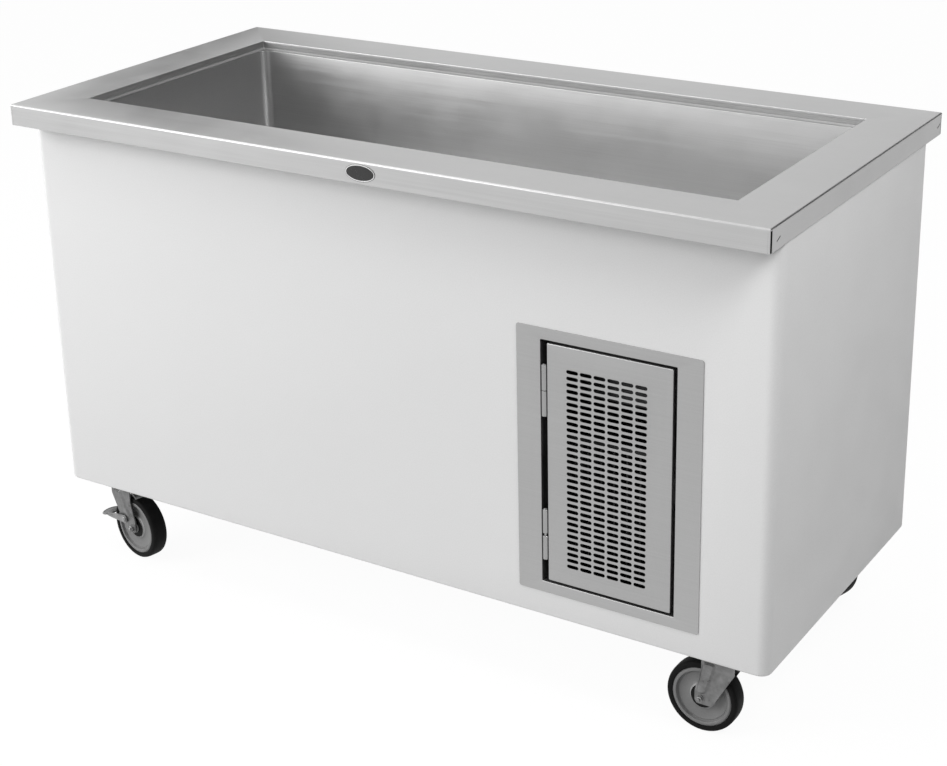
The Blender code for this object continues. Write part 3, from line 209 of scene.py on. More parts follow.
class Surface:
    """A node material on a Principled shader, with a few shorthands."""

    def __init__(self, name, colour, roughness, metallic=0.0, specular=0.5):
        self.material = bpy.data.materials.new(name)
        self.material.use_nodes = True
        self.material.diffuse_color = (*colour, 1)
        self.tree = self.material.node_tree
        self.shader = self.tree.nodes["Principled BSDF"]
        self.set(self.shader, **{"Base Color": (*colour, 1), "Roughness": roughness,
                                 "Metallic": metallic, "Specular IOR Level": specular})
        self.colour = colour

    def set(self, node, **values):
        for key, value in values.items():
            node.inputs[key].default_value = value

    def node(self, kind, **settings):
        made = self.tree.nodes.new(kind)
        for key, value in settings.items():
            setattr(made, key, value)
        return made

    def link(self, source, target):
        self.tree.links.new(source, target)

    def coordinates(self, stretch=(1, 1, 1)):
        coord = self.node("ShaderNodeTexCoord")
        mapping = self.node("ShaderNodeMapping")
        self.set(mapping, Scale=stretch)
        self.link(coord.outputs["Object"], mapping.inputs["Vector"])
        return mapping.outputs["Vector"]

    def noise(self, scale, stretch=(1, 1, 1), detail=3.0, roughness=0.5):
        made = self.node("ShaderNodeTexNoise")
        self.set(made, Scale=scale, Detail=detail, Roughness=roughness)
        self.link(self.coordinates(stretch), made.inputs["Vector"])
        return made.outputs["Fac"]

    def cells(self, scale):
        made = self.node("ShaderNodeTexVoronoi")
        self.set(made, Scale=scale)
        self.link(self.coordinates(), made.inputs["Vector"])
        return made.outputs

    def ramp(self, value, low, high, start=0.3, end=0.7):
        """Maps a value from start..end onto low..high."""
        made = self.node("ShaderNodeMapRange")
        self.set(made, **{"From Min": start, "From Max": end, "To Min": low, "To Max": high})
        self.link(value, made.inputs["Value"])
        return made.outputs["Result"]

    def math(self, operation, one, two):
        made = self.node("ShaderNodeMath", operation=operation)
        for socket, value in zip(made.inputs, (one, two)):
            if isinstance(value, (int, float)):
                socket.default_value = value
            else:
                self.link(value, socket)
        return made.outputs[0]

    def tint(self, factor):
        """Base colour times a factor near one."""
        mix = self.node("ShaderNodeVectorMath", operation="SCALE")
        mix.inputs[0].default_value = self.colour
        self.link(factor, mix.inputs["Scale"])
        self.link(mix.outputs[0], self.shader.inputs["Base Color"])

    def tarnish(self, factor, depth):
        """Base colour fading to a darker one."""
        mix = self.node("ShaderNodeMix", data_type="RGBA")
        factor_in, fresh, dark = (mix.inputs[i] for i in (0, 6, 7))
        fresh.default_value = (*self.colour, 1)
        dark.default_value = (*(c * depth for c in self.colour), 1)
        self.link(factor, factor_in)
        self.link(mix.outputs[2], self.shader.inputs["Base Color"])

    def rough(self, value):
        self.link(value, self.shader.inputs["Roughness"])

    def bump(self, height, strength, distance, previous=None):
        """Relief from a height; a finer one can follow a previous one."""
        made = self.node("ShaderNodeBump")
        self.set(made, Strength=strength, Distance=distance)
        self.link(height, made.inputs["Height"])
        if previous is not None:
            self.link(previous, made.inputs["Normal"])
        self.link(made.outputs["Normal"], self.shader.inputs["Normal"])
        return made.outputs["Normal"]


def stainless(name, stretch, level, roughness, relief=0.02):
    """Satin sheet: fine polishing lines along one direction, faint wipe marks."""
    s = Surface(name, grey(level), roughness, 1.0)
    fine = s.noise(1.0, stretch, detail=2.0, roughness=0.7)
    broad = s.noise(2.2, detail=2.0)
    smear = s.noise(9.0, detail=4.0, roughness=0.6)
    grain = s.noise(900.0, detail=1.0)
    tone = s.math("ADD", s.ramp(fine, -0.035, 0.035), s.ramp(broad, 0.975, 1.025))
    tone = s.math("ADD", tone, s.ramp(grain, -0.02, 0.02))
    s.tint(tone)
    s.rough(s.math("ADD", s.ramp(smear, roughness - 0.03, roughness + 0.04),
                   s.ramp(fine, -0.03, 0.03)))
    s.bump(fine, relief, 0.0003)
    return s.material


def moulding():
    """White gelcoat: faint mottling, soft orange peel."""
    s = Surface("white_moulding", grey(0.80), 0.42, specular=0.4)
    fine = s.noise(420.0, detail=2.0)
    broad = s.noise(1.6, detail=3.0)
    s.tint(s.math("ADD", s.ramp(fine, -0.018, 0.018), s.ramp(broad, 0.99, 1.01)))
    s.rough(s.ramp(s.noise(14.0, detail=4.0), 0.38, 0.50))
    first = s.bump(s.noise(160.0, detail=2.0), 0.06, 0.0006)
    s.bump(fine, 0.05, 0.0003, first)
    return s.material


def zinc(name, level, roughness):
    """Dull zinc plate, mottled from handling."""
    s = Surface(name, grey(level), roughness, 0.55)
    spangle = s.cells(160.0)["Color"]
    cloud = s.noise(45.0, detail=4.0, roughness=0.6)
    s.tint(s.math("ADD", s.ramp(spangle, -0.08, 0.08, 0.0, 1.0), s.ramp(cloud, 0.60, 1.28)))
    s.rough(s.ramp(cloud, roughness - 0.12, roughness + 0.12))
    s.bump(s.noise(260.0, detail=3.0), 0.10, 0.0003)
    return s.material


def galvanised():
    """Hot-dipped sheet with its spangle."""
    s = Surface("galvanised_sheet", (0.50, 0.51, 0.52), 0.45, 1.0)
    spangle = s.cells(95.0)["Color"]
    s.tint(s.math("ADD", s.ramp(spangle, -0.10, 0.10, 0.0, 1.0), s.ramp(s.noise(6.0), 0.93, 1.05)))
    s.rough(s.ramp(spangle, 0.36, 0.54, 0.0, 1.0))
    s.bump(s.noise(300.0, detail=2.0), 0.08, 0.0003)
    return s.material


def speckled(name, colour, roughness, grain=700.0, amount=0.06, depth=0.12, specular=0.5):
    """Moulded plastic or enamel with a fine texture; also the near-black of painted shade."""
    s = Surface(name, colour, roughness, specular=specular)
    fine = s.noise(grain, detail=2.0)
    s.tint(s.math("ADD", s.ramp(fine, -amount, amount), s.ramp(s.noise(30.0), 0.95, 1.05)))
    s.rough(s.ramp(s.noise(60.0, detail=4.0), roughness - 0.07, roughness + 0.10))
    s.bump(fine, depth, 0.0003)
    return s.material


def rubber():
    """Black tread with dust."""
    s = Surface("tyre_rubber", grey(0.006), 0.62, specular=0.10)
    dust = s.noise(70.0, detail=5.0, roughness=0.65)
    s.tint(s.ramp(dust, 0.7, 1.9, 0.35, 0.75))
    s.rough(s.ramp(dust, 0.54, 0.76))
    s.bump(s.noise(500.0, detail=3.0), 0.12, 0.0003)
    return s.material


def copper(name, colour):
    """Bare copper or brass, tarnished in patches."""
    s = Surface(name, colour, 0.32, 1.0)
    cloud = s.noise(24.0, detail=5.0, roughness=0.6)
    s.tarnish(s.ramp(cloud, 0.0, 0.75), 0.62)
    s.rough(s.ramp(cloud, 0.24, 0.48))
    s.bump(s.noise(350.0), 0.05, 0.0002)
    return s.material


def foam():
    """Sprayed foam with open cells."""
    s = Surface("urethane_foam", (0.72, 0.66, 0.50), 0.9)
    cell = s.cells(420.0)["Distance"]
    s.tint(s.ramp(cell, 0.88, 1.08, 0.0, 0.6))
    s.bump(cell, 0.3, 0.0006)
    return s.material


def aluminium(name, colour, metallic):
    """Thin aluminium, bare, or dark as painted shade."""
    s = Surface(name, colour, 0.42, metallic)
    s.tint(s.ramp(s.noise(50.0), 0.86, 1.08))
    s.rough(s.ramp(s.noise(200.0), 0.36, 0.5))
    s.bump(s.noise(400.0), 0.08, 0.0003)
    return s.material


ALONG = 3  # the polishing lines run along X
STEEL_TOP = stainless("stainless_top", (ALONG, 500, 500), 0.48, 0.42)
STEEL_WELL = stainless("stainless_well", (ALONG, 400, 400), 0.55, 0.36, 0.0)
STEEL_FRAME = stainless("stainless_frame", (ALONG, 600, 600), 0.415, 0.40)
STEEL_DOOR = stainless("stainless_door", (ALONG, 600, 600), 0.405, 0.40)
STEEL_SMALL = stainless("stainless_small", (200, 200, 200), 0.58, 0.28)
HINGE_STEEL = stainless("stainless_hinge", (300, 300, 30), 0.36, 0.30)
BADGE_RIM = stainless("badge_rim_metal", (200, 200, 200), 0.86, 0.30)
WHITE = moulding()
ZINC = zinc("zinc_plate", 0.20, 0.34)
PEDAL_ZINC = zinc("pedal_zinc", 0.28, 0.38)
GALVANISED = galvanised()
GREY = speckled("grey_wheel_plastic", grey(0.21), 0.50)
GREY_LIGHT = speckled("grey_hub_ring", grey(0.42), 0.45)
RUBBER = rubber()
BLACK = speckled("black_plastic", grey(0.022), 0.42)
# Near-black with little sheen for the wheel hub's recess: painted shade.
HUB_RECESS_SHADE = speckled("hub_recess_shade", grey(0.009), 0.60, specular=0.1)
BREAKER = speckled("breaker_plastic", grey(0.42), 0.45)
# Near-black without sheen: painted shade for the gaps at the top's corners and slots.
GAP_SHADE_BLACK = speckled("shadow_black", grey(0.004), 0.9, specular=0.0)
BADGE_FACE = speckled("badge_enamel", grey(0.022), 0.22, 1200.0, 0.03, 0.03)
# Black enamel of the compressor and fan motor; on the control box and fan shroud it is painted
# shade inside the cabinet.
BLACK_ENAMEL_AND_SHADE = speckled("black_enamel", (0.020, 0.020, 0.021), 0.30, 500.0, 0.05, 0.05)
FOAM = foam()
COPPER = copper("copper_tube", (0.70, 0.36, 0.22))
BRASS = copper("cast_brass", (0.66, 0.50, 0.24))
# Condenser fins near-black: painted shade inside the cabinet, behind the door's slots.
FINS_PAINTED_SHADE = aluminium("condenser_fins", grey(0.018), 0.0)
BLADE = aluminium("fan_aluminium", (0.62, 0.63, 0.64), 1.0)

# The CAD nodes that are shown as they are.
for finish, nodes in (
        (GALVANISED, ("end_channel_left", "end_channel_right", "insulation_case", "drain_pipe",
                      "base_deck", "unit_base")),
        (COPPER, ("evaporator_coil", "filter_drier", "liquid_line", "expansion_line",
                  "suction_line")),
        # Control box and fan shroud near-black as painted shade; compressor and fan motor in their
        # own black enamel.
        (BLACK_ENAMEL_AND_SHADE, ("fan_shroud", "fan_motor", "compressor", "control_box")),
        (BLACK, ("cord_gland", "door_catch", "terminal_cover", "thermostat_knob",
                 "power_switch")),
        (FOAM, ("pan_insulation",)), (BRASS, ("drain_valve",)), (ZINC, ("drain_lever",)),
        # The condenser coil's fins are near-black as painted shade.
        (FINS_PAINTED_SHADE, ("condenser_coil",)), (BLADE, ("fan_blade",))):
    for node in nodes:
        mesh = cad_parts[node].data
        mesh.materials.clear()
        mesh.materials.append(finish)
        shaded(mesh)


# ---------------------------------------------------------------- studio
FLAG_RADIUS, FLOOR_HALF, FLOOR_DROP = 4.6, 30, 0.0006
SKY_SIDE, SKY_DIM, SKY_BRIGHT = (-0.90, -0.10, 0.36), 0.055, 0.66


def world_light():
    """White to the camera and in mirrors; its soft light is bright from the left and above."""
    world = bpy.data.worlds.new("studio")
    bpy.context.scene.world = world
    world.use_nodes = True
    tree = world.node_tree
    tree.nodes.clear()

    def node(kind, **settings):
        made = tree.nodes.new(kind)
        for key, value in settings.items():
            setattr(made, key, value)
        return made

    link = tree.links.new
    coord = node("ShaderNodeTexCoord")
    dot = node("ShaderNodeVectorMath", operation="DOT_PRODUCT")
    dot.inputs[1].default_value = Vector(SKY_SIDE).normalized()
    link(coord.outputs["Generated"], dot.inputs[0])
    level = node("ShaderNodeMapRange", interpolation_type="SMOOTHSTEP")
    for key, value in (("From Min", -0.75), ("From Max", 0.75), ("To Min", SKY_DIM),
                       ("To Max", SKY_BRIGHT)):
        level.inputs[key].default_value = value
    link(dot.outputs["Value"], level.inputs["Value"])
    path = node("ShaderNodeLightPath")
    seen = path.outputs["Is Camera Ray"]
    for key in ("Is Glossy Ray", "Is Transmission Ray"):
        most = node("ShaderNodeMath", operation="MAXIMUM")
        link(seen, most.inputs[0])
        link(path.outputs[key], most.inputs[1])
        seen = most.outputs[0]
    mix = node("ShaderNodeMix", data_type="FLOAT")
    mix.inputs[3].default_value = 1.0
    link(seen, mix.inputs[0])
    link(level.outputs["Result"], mix.inputs[2])
    background = node("ShaderNodeBackground")
    background.inputs["Color"].default_value = (1, 1, 1, 1)
    link(mix.outputs[0], background.inputs["Strength"])
    out = node("ShaderNodeOutputWorld")
    link(background.outputs[0], out.inputs["Surface"])


def soft_box(name, place, aim, size, power):
    """A rectangular light at a place, turned towards its aim."""
    light = bpy.data.lights.new(name, "AREA")
    light.shape, light.energy = "RECTANGLE", power
    light.size, light.size_y = size
    obj = add(name, light)
    obj.location = place
    obj.rotation_euler = (Vector(aim) - Vector(place)).to_track_quat("-Z", "Y").to_euler()
    obj.visible_camera = False


def dark_flag(name, start, end, low, high):
    """Black cloth round a part of the set, between two bearings; only the metal sees it."""
    s = Surface(name, grey(0.012), 1.0, specular=0.0)
    s.tint(s.ramp(s.noise(40.0), 0.8, 1.2))
    bm = bmesh.new()
    posts = [[bm.verts.new((x, y, z)) for z in (low, high)]
             for x, y in arc((0, 0), FLAG_RADIUS, start, end, 40)]
    for one, two in zip(posts, posts[1:]):
        bm.faces.new((one[0], two[0], two[1], one[1]))
    flag = add(name, new_mesh(name, bm))
    flag.data.materials.append(s.material)
    flag.visible_camera = flag.visible_diffuse = flag.visible_shadow = False
    flag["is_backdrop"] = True


def studio_floor():
    """Pale floor; the camera sees it lifted towards white, and it keeps soft shadows."""
    s = Surface("studio_floor", grey(0.43), 0.85)
    s.tint(s.ramp(s.noise(0.7, detail=2.0), 0.99, 1.01))
    glow = s.node("ShaderNodeEmission")
    path = s.node("ShaderNodeLightPath")
    mirrored = s.math("MAXIMUM", path.outputs["Is Glossy Ray"],
                      path.outputs["Is Transmission Ray"])
    share = s.math("MAXIMUM", s.math("MULTIPLY", path.outputs["Is Camera Ray"], 0.86),
                   s.math("MULTIPLY", mirrored, 0.80))
    s.set(glow, Strength=1.10)
    mix = s.node("ShaderNodeMixShader")
    s.link(share, mix.inputs[0])
    s.link(s.shader.outputs[0], mix.inputs[1])
    s.link(glow.outputs[0], mix.inputs[2])
    s.link(mix.outputs[0], s.tree.nodes["Material Output"].inputs["Surface"])
    bm = bmesh.new()
    bmesh.ops.create_grid(bm, x_segments=1, y_segments=1, size=FLOOR_HALF)
    floor = add("studio_floor", new_mesh("studio_floor", bm))
    floor.data.materials.append(s.material)
    floor.location.z = -FLOOR_DROP
    floor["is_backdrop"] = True


def camera(place, yaw, pitch, roll, lens, shift_y):
    """A camera by its place, its turns in radians, its lens in mm and its upward shift."""
    data = bpy.data.cameras.new("camera")
    data.sensor_width, data.lens, data.shift_x, data.shift_y = 36.0, lens, 0.0, shift_y
    data.clip_start, data.clip_end = 0.05, 60
    ahead = Vector((-sin(yaw) * cos(pitch), cos(yaw) * cos(pitch), sin(pitch)))
    right = ahead.cross(Vector((0, 0, 1))).normalized()
    up = right.cross(ahead)
    across = right * cos(roll) + up * sin(roll)
    upright = up * cos(roll) - right * sin(roll)
    turn = Matrix((across, upright, -ahead)).transposed().to_4x4()
    bpy.context.scene.camera = add("camera", data, Matrix.Translation(place) @ turn)


world_light()
soft_box("key", (-2.8, -3.2, 2.3), (-0.2, 0, 0.7), (2.8, 2.4), 112)
soft_box("overhead", (-1.7, 0.1, 3.6), (0.1, 0, 0.6), (2.0, 2.4), 26)
soft_box("right_fill", (2.1, -0.9, 2.6), (0.75, 0, 0.8), (0.9, 0.9), 37)
studio_floor()
dark_flag("black_flag_right", -74, 74, 0.90, 7.5)
dark_flag("black_flag_rear", 133, 143, 1.0, 3.4)
camera((1.755153, -2.729294, 1.776588), 0.56830, -0.35350, -0.02230, 72.904, -0.10)
bpy.context.scene.view_settings.view_transform = "Standard"

# ---------------------------------------------------------------- counter top
L2, D2, TOP = 0.7366, 0.3556, 0.9144
SKIRT_LOW, SHEET, BEND, ROLL = 0.8763, 0.0020, 0.0032, 0.0010
OPEN_X, OPEN_Y, FLANGE_LOW = 0.6396, 0.2556, 0.9019
BELOW_SKIRT = 0.86


def ring(half_a, half_b, radius, level, steps=6):
    """A level rounded rectangle about the middle."""
    return [(x, y, level) for x, y in rounded(half_a, half_b, radius, steps)]


def capsule(length, width, steps=6):
    """Outline of a slot with round ends."""
    r, run = width / 2, (length - width) / 2
    return ([(run + r * cos(a), r * sin(a)) for a in
             (radians(-90 + 180 * i / steps) for i in range(steps + 1))]
            + [(-run + r * cos(a), r * sin(a)) for a in
               (radians(90 + 180 * i / steps) for i in range(steps + 1))])


def interlock_outline(sx, sy, length, width):
    """The slanted slot of one end skirt, rising from its leading to its trailing corner."""
    back, drop = (0.0148, 0.0208) if sx * sy > 0 else (0.0282, 0.0225)
    tilt = radians(23) * sx
    return [(a * cos(tilt) - b * sin(tilt) + sy * (D2 - back),
             a * sin(tilt) + b * cos(tilt) + TOP - drop) for a, b in capsule(length, width)]


def counter_top():
    """Sheet top with skirts open at the corners and a stepped flange round the opening."""
    bm = bmesh.new()
    corner, step = 0.0012, 0.0006
    rings = [ring(L2 - 0.0003, D2 - 0.0003, 0.0009, SKIRT_LOW),
             ring(L2, D2, corner, SKIRT_LOW + 0.0003)]
    for a in quarter(7):
        back = BEND * (1 - cos(a))
        rings.append(ring(L2 - back, D2 - back, corner, TOP - BEND * (1 - sin(a))))
    for a in quarter(5):
        out = ROLL * (1 - sin(a))
        rings.append(ring(OPEN_X + out, OPEN_Y + out, corner + out, TOP - ROLL * (1 - cos(a))))
    rings += [ring(OPEN_X, OPEN_Y, corner, TOP - 0.0048),
              ring(OPEN_X + step, OPEN_Y + step, 0.0016, TOP - 0.0054),
              ring(OPEN_X + step, OPEN_Y + step, 0.0016, FLANGE_LOW),
              ring(OPEN_X + SHEET, OPEN_Y + SHEET, 0.0030, FLANGE_LOW),
              ring(OPEN_X + SHEET, OPEN_Y + SHEET, 0.0030, TOP - SHEET),
              ring(L2 - SHEET, D2 - SHEET, 0.0005, TOP - SHEET),
              ring(L2 - SHEET, D2 - SHEET, 0.0005, SKIRT_LOW)]
    loft(bm, rings, closed=True)
    cutters = []
    for sx in (-1, 1):
        line = sx * (L2 - 0.0043)
        for sy in (-1, 1):
            seam = [(sx * (L2 - a), sy * (D2 - b)) for a, b in
                    ((0.0010, -0.0010), (0.0010, 0.0022), (0.0040, 0.0022), (0.0040, 0.0058),
                     (-0.0010, 0.0058), (-0.0010, -0.0010))]
            cutters += [
                solid(prism, seam, BELOW_SKIRT, TOP - BEND - 0.0003, "Z"),
                solid(box, (line - 0.00014, sy * D2 - 0.00025, BELOW_SKIRT),
                      (line + 0.00014, sy * D2 + 0.00025, TOP - BEND - 0.0006)),
                solid(prism, interlock_outline(sx, sy, 0.0140, 0.0020),
                      sx * L2 - 0.004, sx * L2 + 0.004, "X")]
    return carved("counter_top_sheet", bm, cutters, angle=25)


def corner_gap_shade():
    """Near-black fill in the open corners and behind the interlock slots: painted shade in the
    gaps.
    """
    bm = bmesh.new()
    for sx in (-1, 1):
        low, high = sorted((sx * (L2 - 0.0023), sx * (L2 - 0.0005)))
        for sy in (-1, 1):
            y0, y1 = sorted((sy * (D2 - 0.0023), sy * (D2 - 0.0056)))
            box(bm, (low, y0, SKIRT_LOW + 0.0004), (high, y1, TOP - BEND - 0.0005), 0.0002, 1)
            prism(bm, interlock_outline(sx, sy, 0.0137, 0.0018), low, high, "X")
    return new_mesh("corner_gap_shade", bm)


# ---------------------------------------------------------------- well
PAN_X, PAN_Y, PAN_TOP, PAN_FLOOR = 0.6416, 0.2576, 0.8953, 0.6858
DRAIN_X = -0.5


def cold_pan():
    """Coved welded pan with a turned-out rim and the drain's hole."""
    bm = bmesh.new()
    sheet, radius, rim, cove, edge = 0.0015, 0.0180, 0.0200, 0.0160, 0.0009

    def level(out, z):
        return ring(PAN_X + out, PAN_Y + out, radius + out, z, 10)

    rings = [level(sheet - (cove + sheet) * (1 - cos(a)),
                   PAN_FLOOR + cove - (cove + sheet) * sin(a)) for a in reversed(quarter(8))]
    rings += [level(sheet, PAN_TOP - sheet), level(rim, PAN_TOP - sheet), level(rim, PAN_TOP)]
    rings += [level(edge * (1 - sin(a)), PAN_TOP - edge * (1 - cos(a))) for a in quarter(4)]
    rings += [level(-cove * (1 - cos(a)), PAN_FLOOR + cove * (1 - sin(a))) for a in quarter(8)]
    loft(bm, rings, cap_first=True, cap_last=True)
    hole = solid(turned, [(0.0283, 0.66), (0.0283, 0.70)], 48, closed=False,
                 centre=(DRAIN_X, 0, 0))
    return carved("cold_pan_sheet", bm, [hole], angle=30)


def breaker_frame():
    """The strip between top and pan: a flat ring with eased edges."""
    bm = bmesh.new()
    in_x, in_y, width, low, high = 0.6404, 0.2564, 0.0212, 0.8956, 0.9016
    out_x, out_y, radius, edge = in_x + width, in_y + width, 0.003, 0.0008
    rings = [ring(out_x, out_y, radius, low), ring(out_x, out_y, radius, high - edge),
             ring(out_x - edge, out_y - edge, radius, high)]
    for a in quarter(4):
        out = edge * 2 * (1 - sin(a))
        rings.append(ring(in_x + out, in_y + out, radius + out, high - edge * 2 * (1 - cos(a))))
    rings += [ring(in_x, in_y, radius, low + edge), ring(in_x + edge, in_y + edge, radius, low)]
    loft(bm, rings, closed=True)
    return new_mesh("breaker_moulding", bm)


def drain_fitting():
    """Cup with a flange on the well's floor and a tail to the pipe."""
    bm = bmesh.new()
    profile = [(0.0255, 0.0017), (0.0259, 0.0022), (0.0330, 0.0020), (0.0342, 0.0012),
               (0.0343, 0.0003), (0.0280, 0.0003), (0.0280, -0.0140), (0.0272, -0.0150),
               (0.0165, -0.0150), (0.0165, -0.0521), (0.0135, -0.0521), (0.0135, -0.0128),
               (0.0145, -0.0120), (0.0245, -0.0120), (0.0255, -0.0110)]
    turned(bm, profile, 56, centre=(DRAIN_X, 0, PAN_FLOOR))
    return new_mesh("drain_cup", bm)


def drain_strainer():
    """Basket with a perforated floor and a finger knob."""
    bm = bmesh.new()
    low = -0.0117
    profile = [(0.0012, low), (0.0235, low), (0.0249, low + 0.0012), (0.0249, 0.0020),
               (0.0244, 0.0023), (0.0236, 0.0018), (0.0234, low + 0.0022),
               (0.0228, low + 0.0016), (0.0046, low + 0.0016), (0.0036, low + 0.0030),
               (0.0034, 0.0035), (0.0050, 0.0050), (0.0050, 0.0074), (0.0040, 0.0083),
               (0.0012, 0.0085)]
    turned(bm, profile, 56, closed=False, centre=(DRAIN_X, 0, PAN_FLOOR))
    holes = bmesh.new()
    for count, radius in ((8, 0.0090), (14, 0.0145), (20, 0.0195)):
        for x, y in oval((DRAIN_X, 0), radius, radius, count):
            turned(holes, [(0.0014, -0.016), (0.0014, -0.007)], 10, closed=False,
                   centre=(x, y, PAN_FLOOR))
    return carved("strainer_basket", bm, [holes])


# ---------------------------------------------------------------- body
BODY_X, BODY_Y, BODY_FOOT, BODY_TOP = 0.7341, 0.3048, 0.1573, 0.9121
BODY_CORNER, BODY_WALL, BODY_EASE, FOOT_TURN, TOP_TURN = 0.0200, 0.0040, 0.0040, 0.029, 0.010


def body_shell():
    """Moulded shell with rounded corners, turned in at top and foot."""
    bm = bmesh.new()
    ease, top_in, foot_in = BODY_EASE, BODY_TOP - BODY_WALL, BODY_FOOT + BODY_WALL

    def level(back, z):
        return ring(BODY_X - back, BODY_Y - back, BODY_CORNER - back, z, 12)

    rings = [level(FOOT_TURN, BODY_FOOT)]
    rings += [level(ease * (1 - sin(a)), BODY_FOOT + ease * (1 - cos(a))) for a in quarter(6)]
    rings += [level(ease * (1 - cos(a)), BODY_TOP - ease * (1 - sin(a))) for a in quarter(6)]
    rings += [level(TOP_TURN, BODY_TOP), level(TOP_TURN, top_in), level(BODY_WALL, top_in),
              level(BODY_WALL, foot_in), level(FOOT_TURN, foot_in)]
    loft(bm, rings, closed=True)
    doorway = solid(box, (0.3285, -0.33, 0.2208), (0.5725, -0.28, 0.6538))
    gland = solid(turned, [(0.0103, -0.03), (0.0103, 0.03)], 32, closed=False, axis="Y",
                  centre=(0.56, BODY_Y, 0.24))
    return carved("body_moulding", bm, [doorway, gland], angle=25)


# ---------------------------------------------------------------- access frame and door
FACE_Y, BEZEL_BACK = -0.3063, -0.3051
BEZEL_MID, BEZEL_HALF, DOORWAY_HALF = (0.4505, 0.4373), (0.1645, 0.2350), (0.1205, 0.2150)
DOOR_MID, DOOR_HALF = (0.45325, 0.4373), (0.11125, 0.2105)


def upright(middle, half, grow, radius, y):
    """A rounded rectangle facing the front, grown or shrunk all round."""
    return [(x + middle[0], y, z + middle[1])
            for x, z in rounded(half[0] + grow, half[1] + grow, radius + grow, 6)]


def grille_frame():
    """Flat frame with a return flange round its doorway."""
    bm = bmesh.new()
    sheet, ease, flange = 0.0012, 0.0004, FACE_Y + 0.0300

    def outer(grow, y):
        return upright(BEZEL_MID, BEZEL_HALF, grow, 0.0042, y)

    def inner(grow, y):
        return upright(BEZEL_MID, DOORWAY_HALF, grow, 0.0016, y)

    rings = [outer(0, BEZEL_BACK), outer(0, FACE_Y + ease), outer(-ease, FACE_Y)]
    rings += [inner(sheet * (1 - sin(a)), FACE_Y + sheet * (1 - cos(a))) for a in quarter(4)]
    rings += [inner(0, flange), inner(sheet, flange), inner(sheet, BEZEL_BACK)]
    loft(bm, rings, closed=True)
    return new_mesh("access_frame", bm)


def grille_door():
    """Folded pan door with six columns of slots."""
    bm = bmesh.new()
    sheet, edge, back = 0.0010, 0.0016, FACE_Y + 0.0120
    columns, rows, slot = 6, 32, capsule(0.0214, 0.0064, 5)
    first_x, pitch_x, first_z, pitch_z = 0.3880, 0.0244, 0.6063, 0.0111

    def level(grow, y):
        return upright(DOOR_MID, DOOR_HALF, grow, 0.0022, y)

    rings = [level(-sheet, FACE_Y + sheet), level(-sheet, back), level(0, back)]
    rings += [level(-edge * (1 - cos(a)), FACE_Y + edge * (1 - sin(a))) for a in quarter(5)]
    loft(bm, rings, cap_first=True, cap_last=True)
    slots = bmesh.new()
    for column in range(columns):
        for row in range(rows):
            x, z = first_x + pitch_x * column, first_z - pitch_z * row
            prism(slots, [(x + a, z + b) for a, b in slot], FACE_Y - 0.004, FACE_Y + 0.006, "Y")
    return carved("slotted_door", bm, [slots], angle=30)


HINGE_X, HINGE_Y = 0.3360, -0.3033
FRAME_LEAF_X, DOOR_LEAF_X = 0.33095, 0.34105


def hinge_half(high, low, leaf_x, lip=False, pin=None):
    """One knuckle with its leaf; the frame's half has the pin, the door's a lip on top."""
    bm = bmesh.new()
    r, ease, half = 0.0050, 0.0005, 0.00065
    middle = (HINGE_X, HINGE_Y, 0)
    turned(bm, [(r - ease, low), (r, low + ease), (r, high - ease), (r - ease, high)], 32,
           closed=False, centre=middle)
    inner = HINGE_X + (0.002 if leaf_x > HINGE_X else -0.002)
    for a, b, y0, y1 in ((leaf_x - half, leaf_x + half, HINGE_Y, HINGE_Y + 0.0085),
                         (*sorted((inner, leaf_x)), HINGE_Y + 0.0034, HINGE_Y + 0.0047)):
        box(bm, (a, y0, low + 0.0003), (b, y1, high - 0.0003), 0.0002, 1)
    if pin:
        turned(bm, [(0.0025, pin[0]), (0.0025, pin[1])], 24, closed=False, centre=middle)
    if lip:
        turned(bm, [(0.0034, high - 0.001), (0.0034, high + 0.0009), (0.0026, high + 0.0016)], 24,
               closed=False, centre=middle)
    return new_mesh("hinge_half", bm)


def badge_ring(a, b, y):
    """An ellipse about the badge's middle, facing the front."""
    return [(x, y, z) for x, z in oval((0.030, 0.89535), a, b, 72)]


def badge_rim():
    bm = bmesh.new()
    loft(bm, [badge_ring(a, b, y) for a, b, y in (
        (0.0283, 0.0138, -0.3559), (0.0283, 0.0138, -0.3564), (0.0280, 0.0135, -0.3567),
        (0.0271, 0.0126, -0.3567), (0.0268, 0.0123, -0.3564), (0.0268, 0.0123, -0.3559))],
         closed=True)
    return new_mesh("badge_rim", bm)


def badge_face():
    """Slightly domed bare plate."""
    bm = bmesh.new()
    loft(bm, [badge_ring(0.0290 * share, 0.0145 * share, y) for share, y in (
        (1.0, -0.35580), (1.0, -0.35610), (0.975, -0.35625), (0.92, -0.35628),
        (0.9, -0.35640), (0.6, -0.35652), (0.3, -0.35658), (0.05, -0.35660))],
         cap_first=True, cap_last=True)
    return new_mesh("badge_face", bm)


# ---------------------------------------------------------------- casters
# Each caster's heading at rest, in degrees about its kingpin.
HEADINGS = {"front_left": -12, "front_right": 180, "rear_left": 20, "rear_right": 165}
CASTER_X, CASTER_Y = 0.6341, 0.2498
WHEEL_R, TRAIL = 0.0635, 0.0300


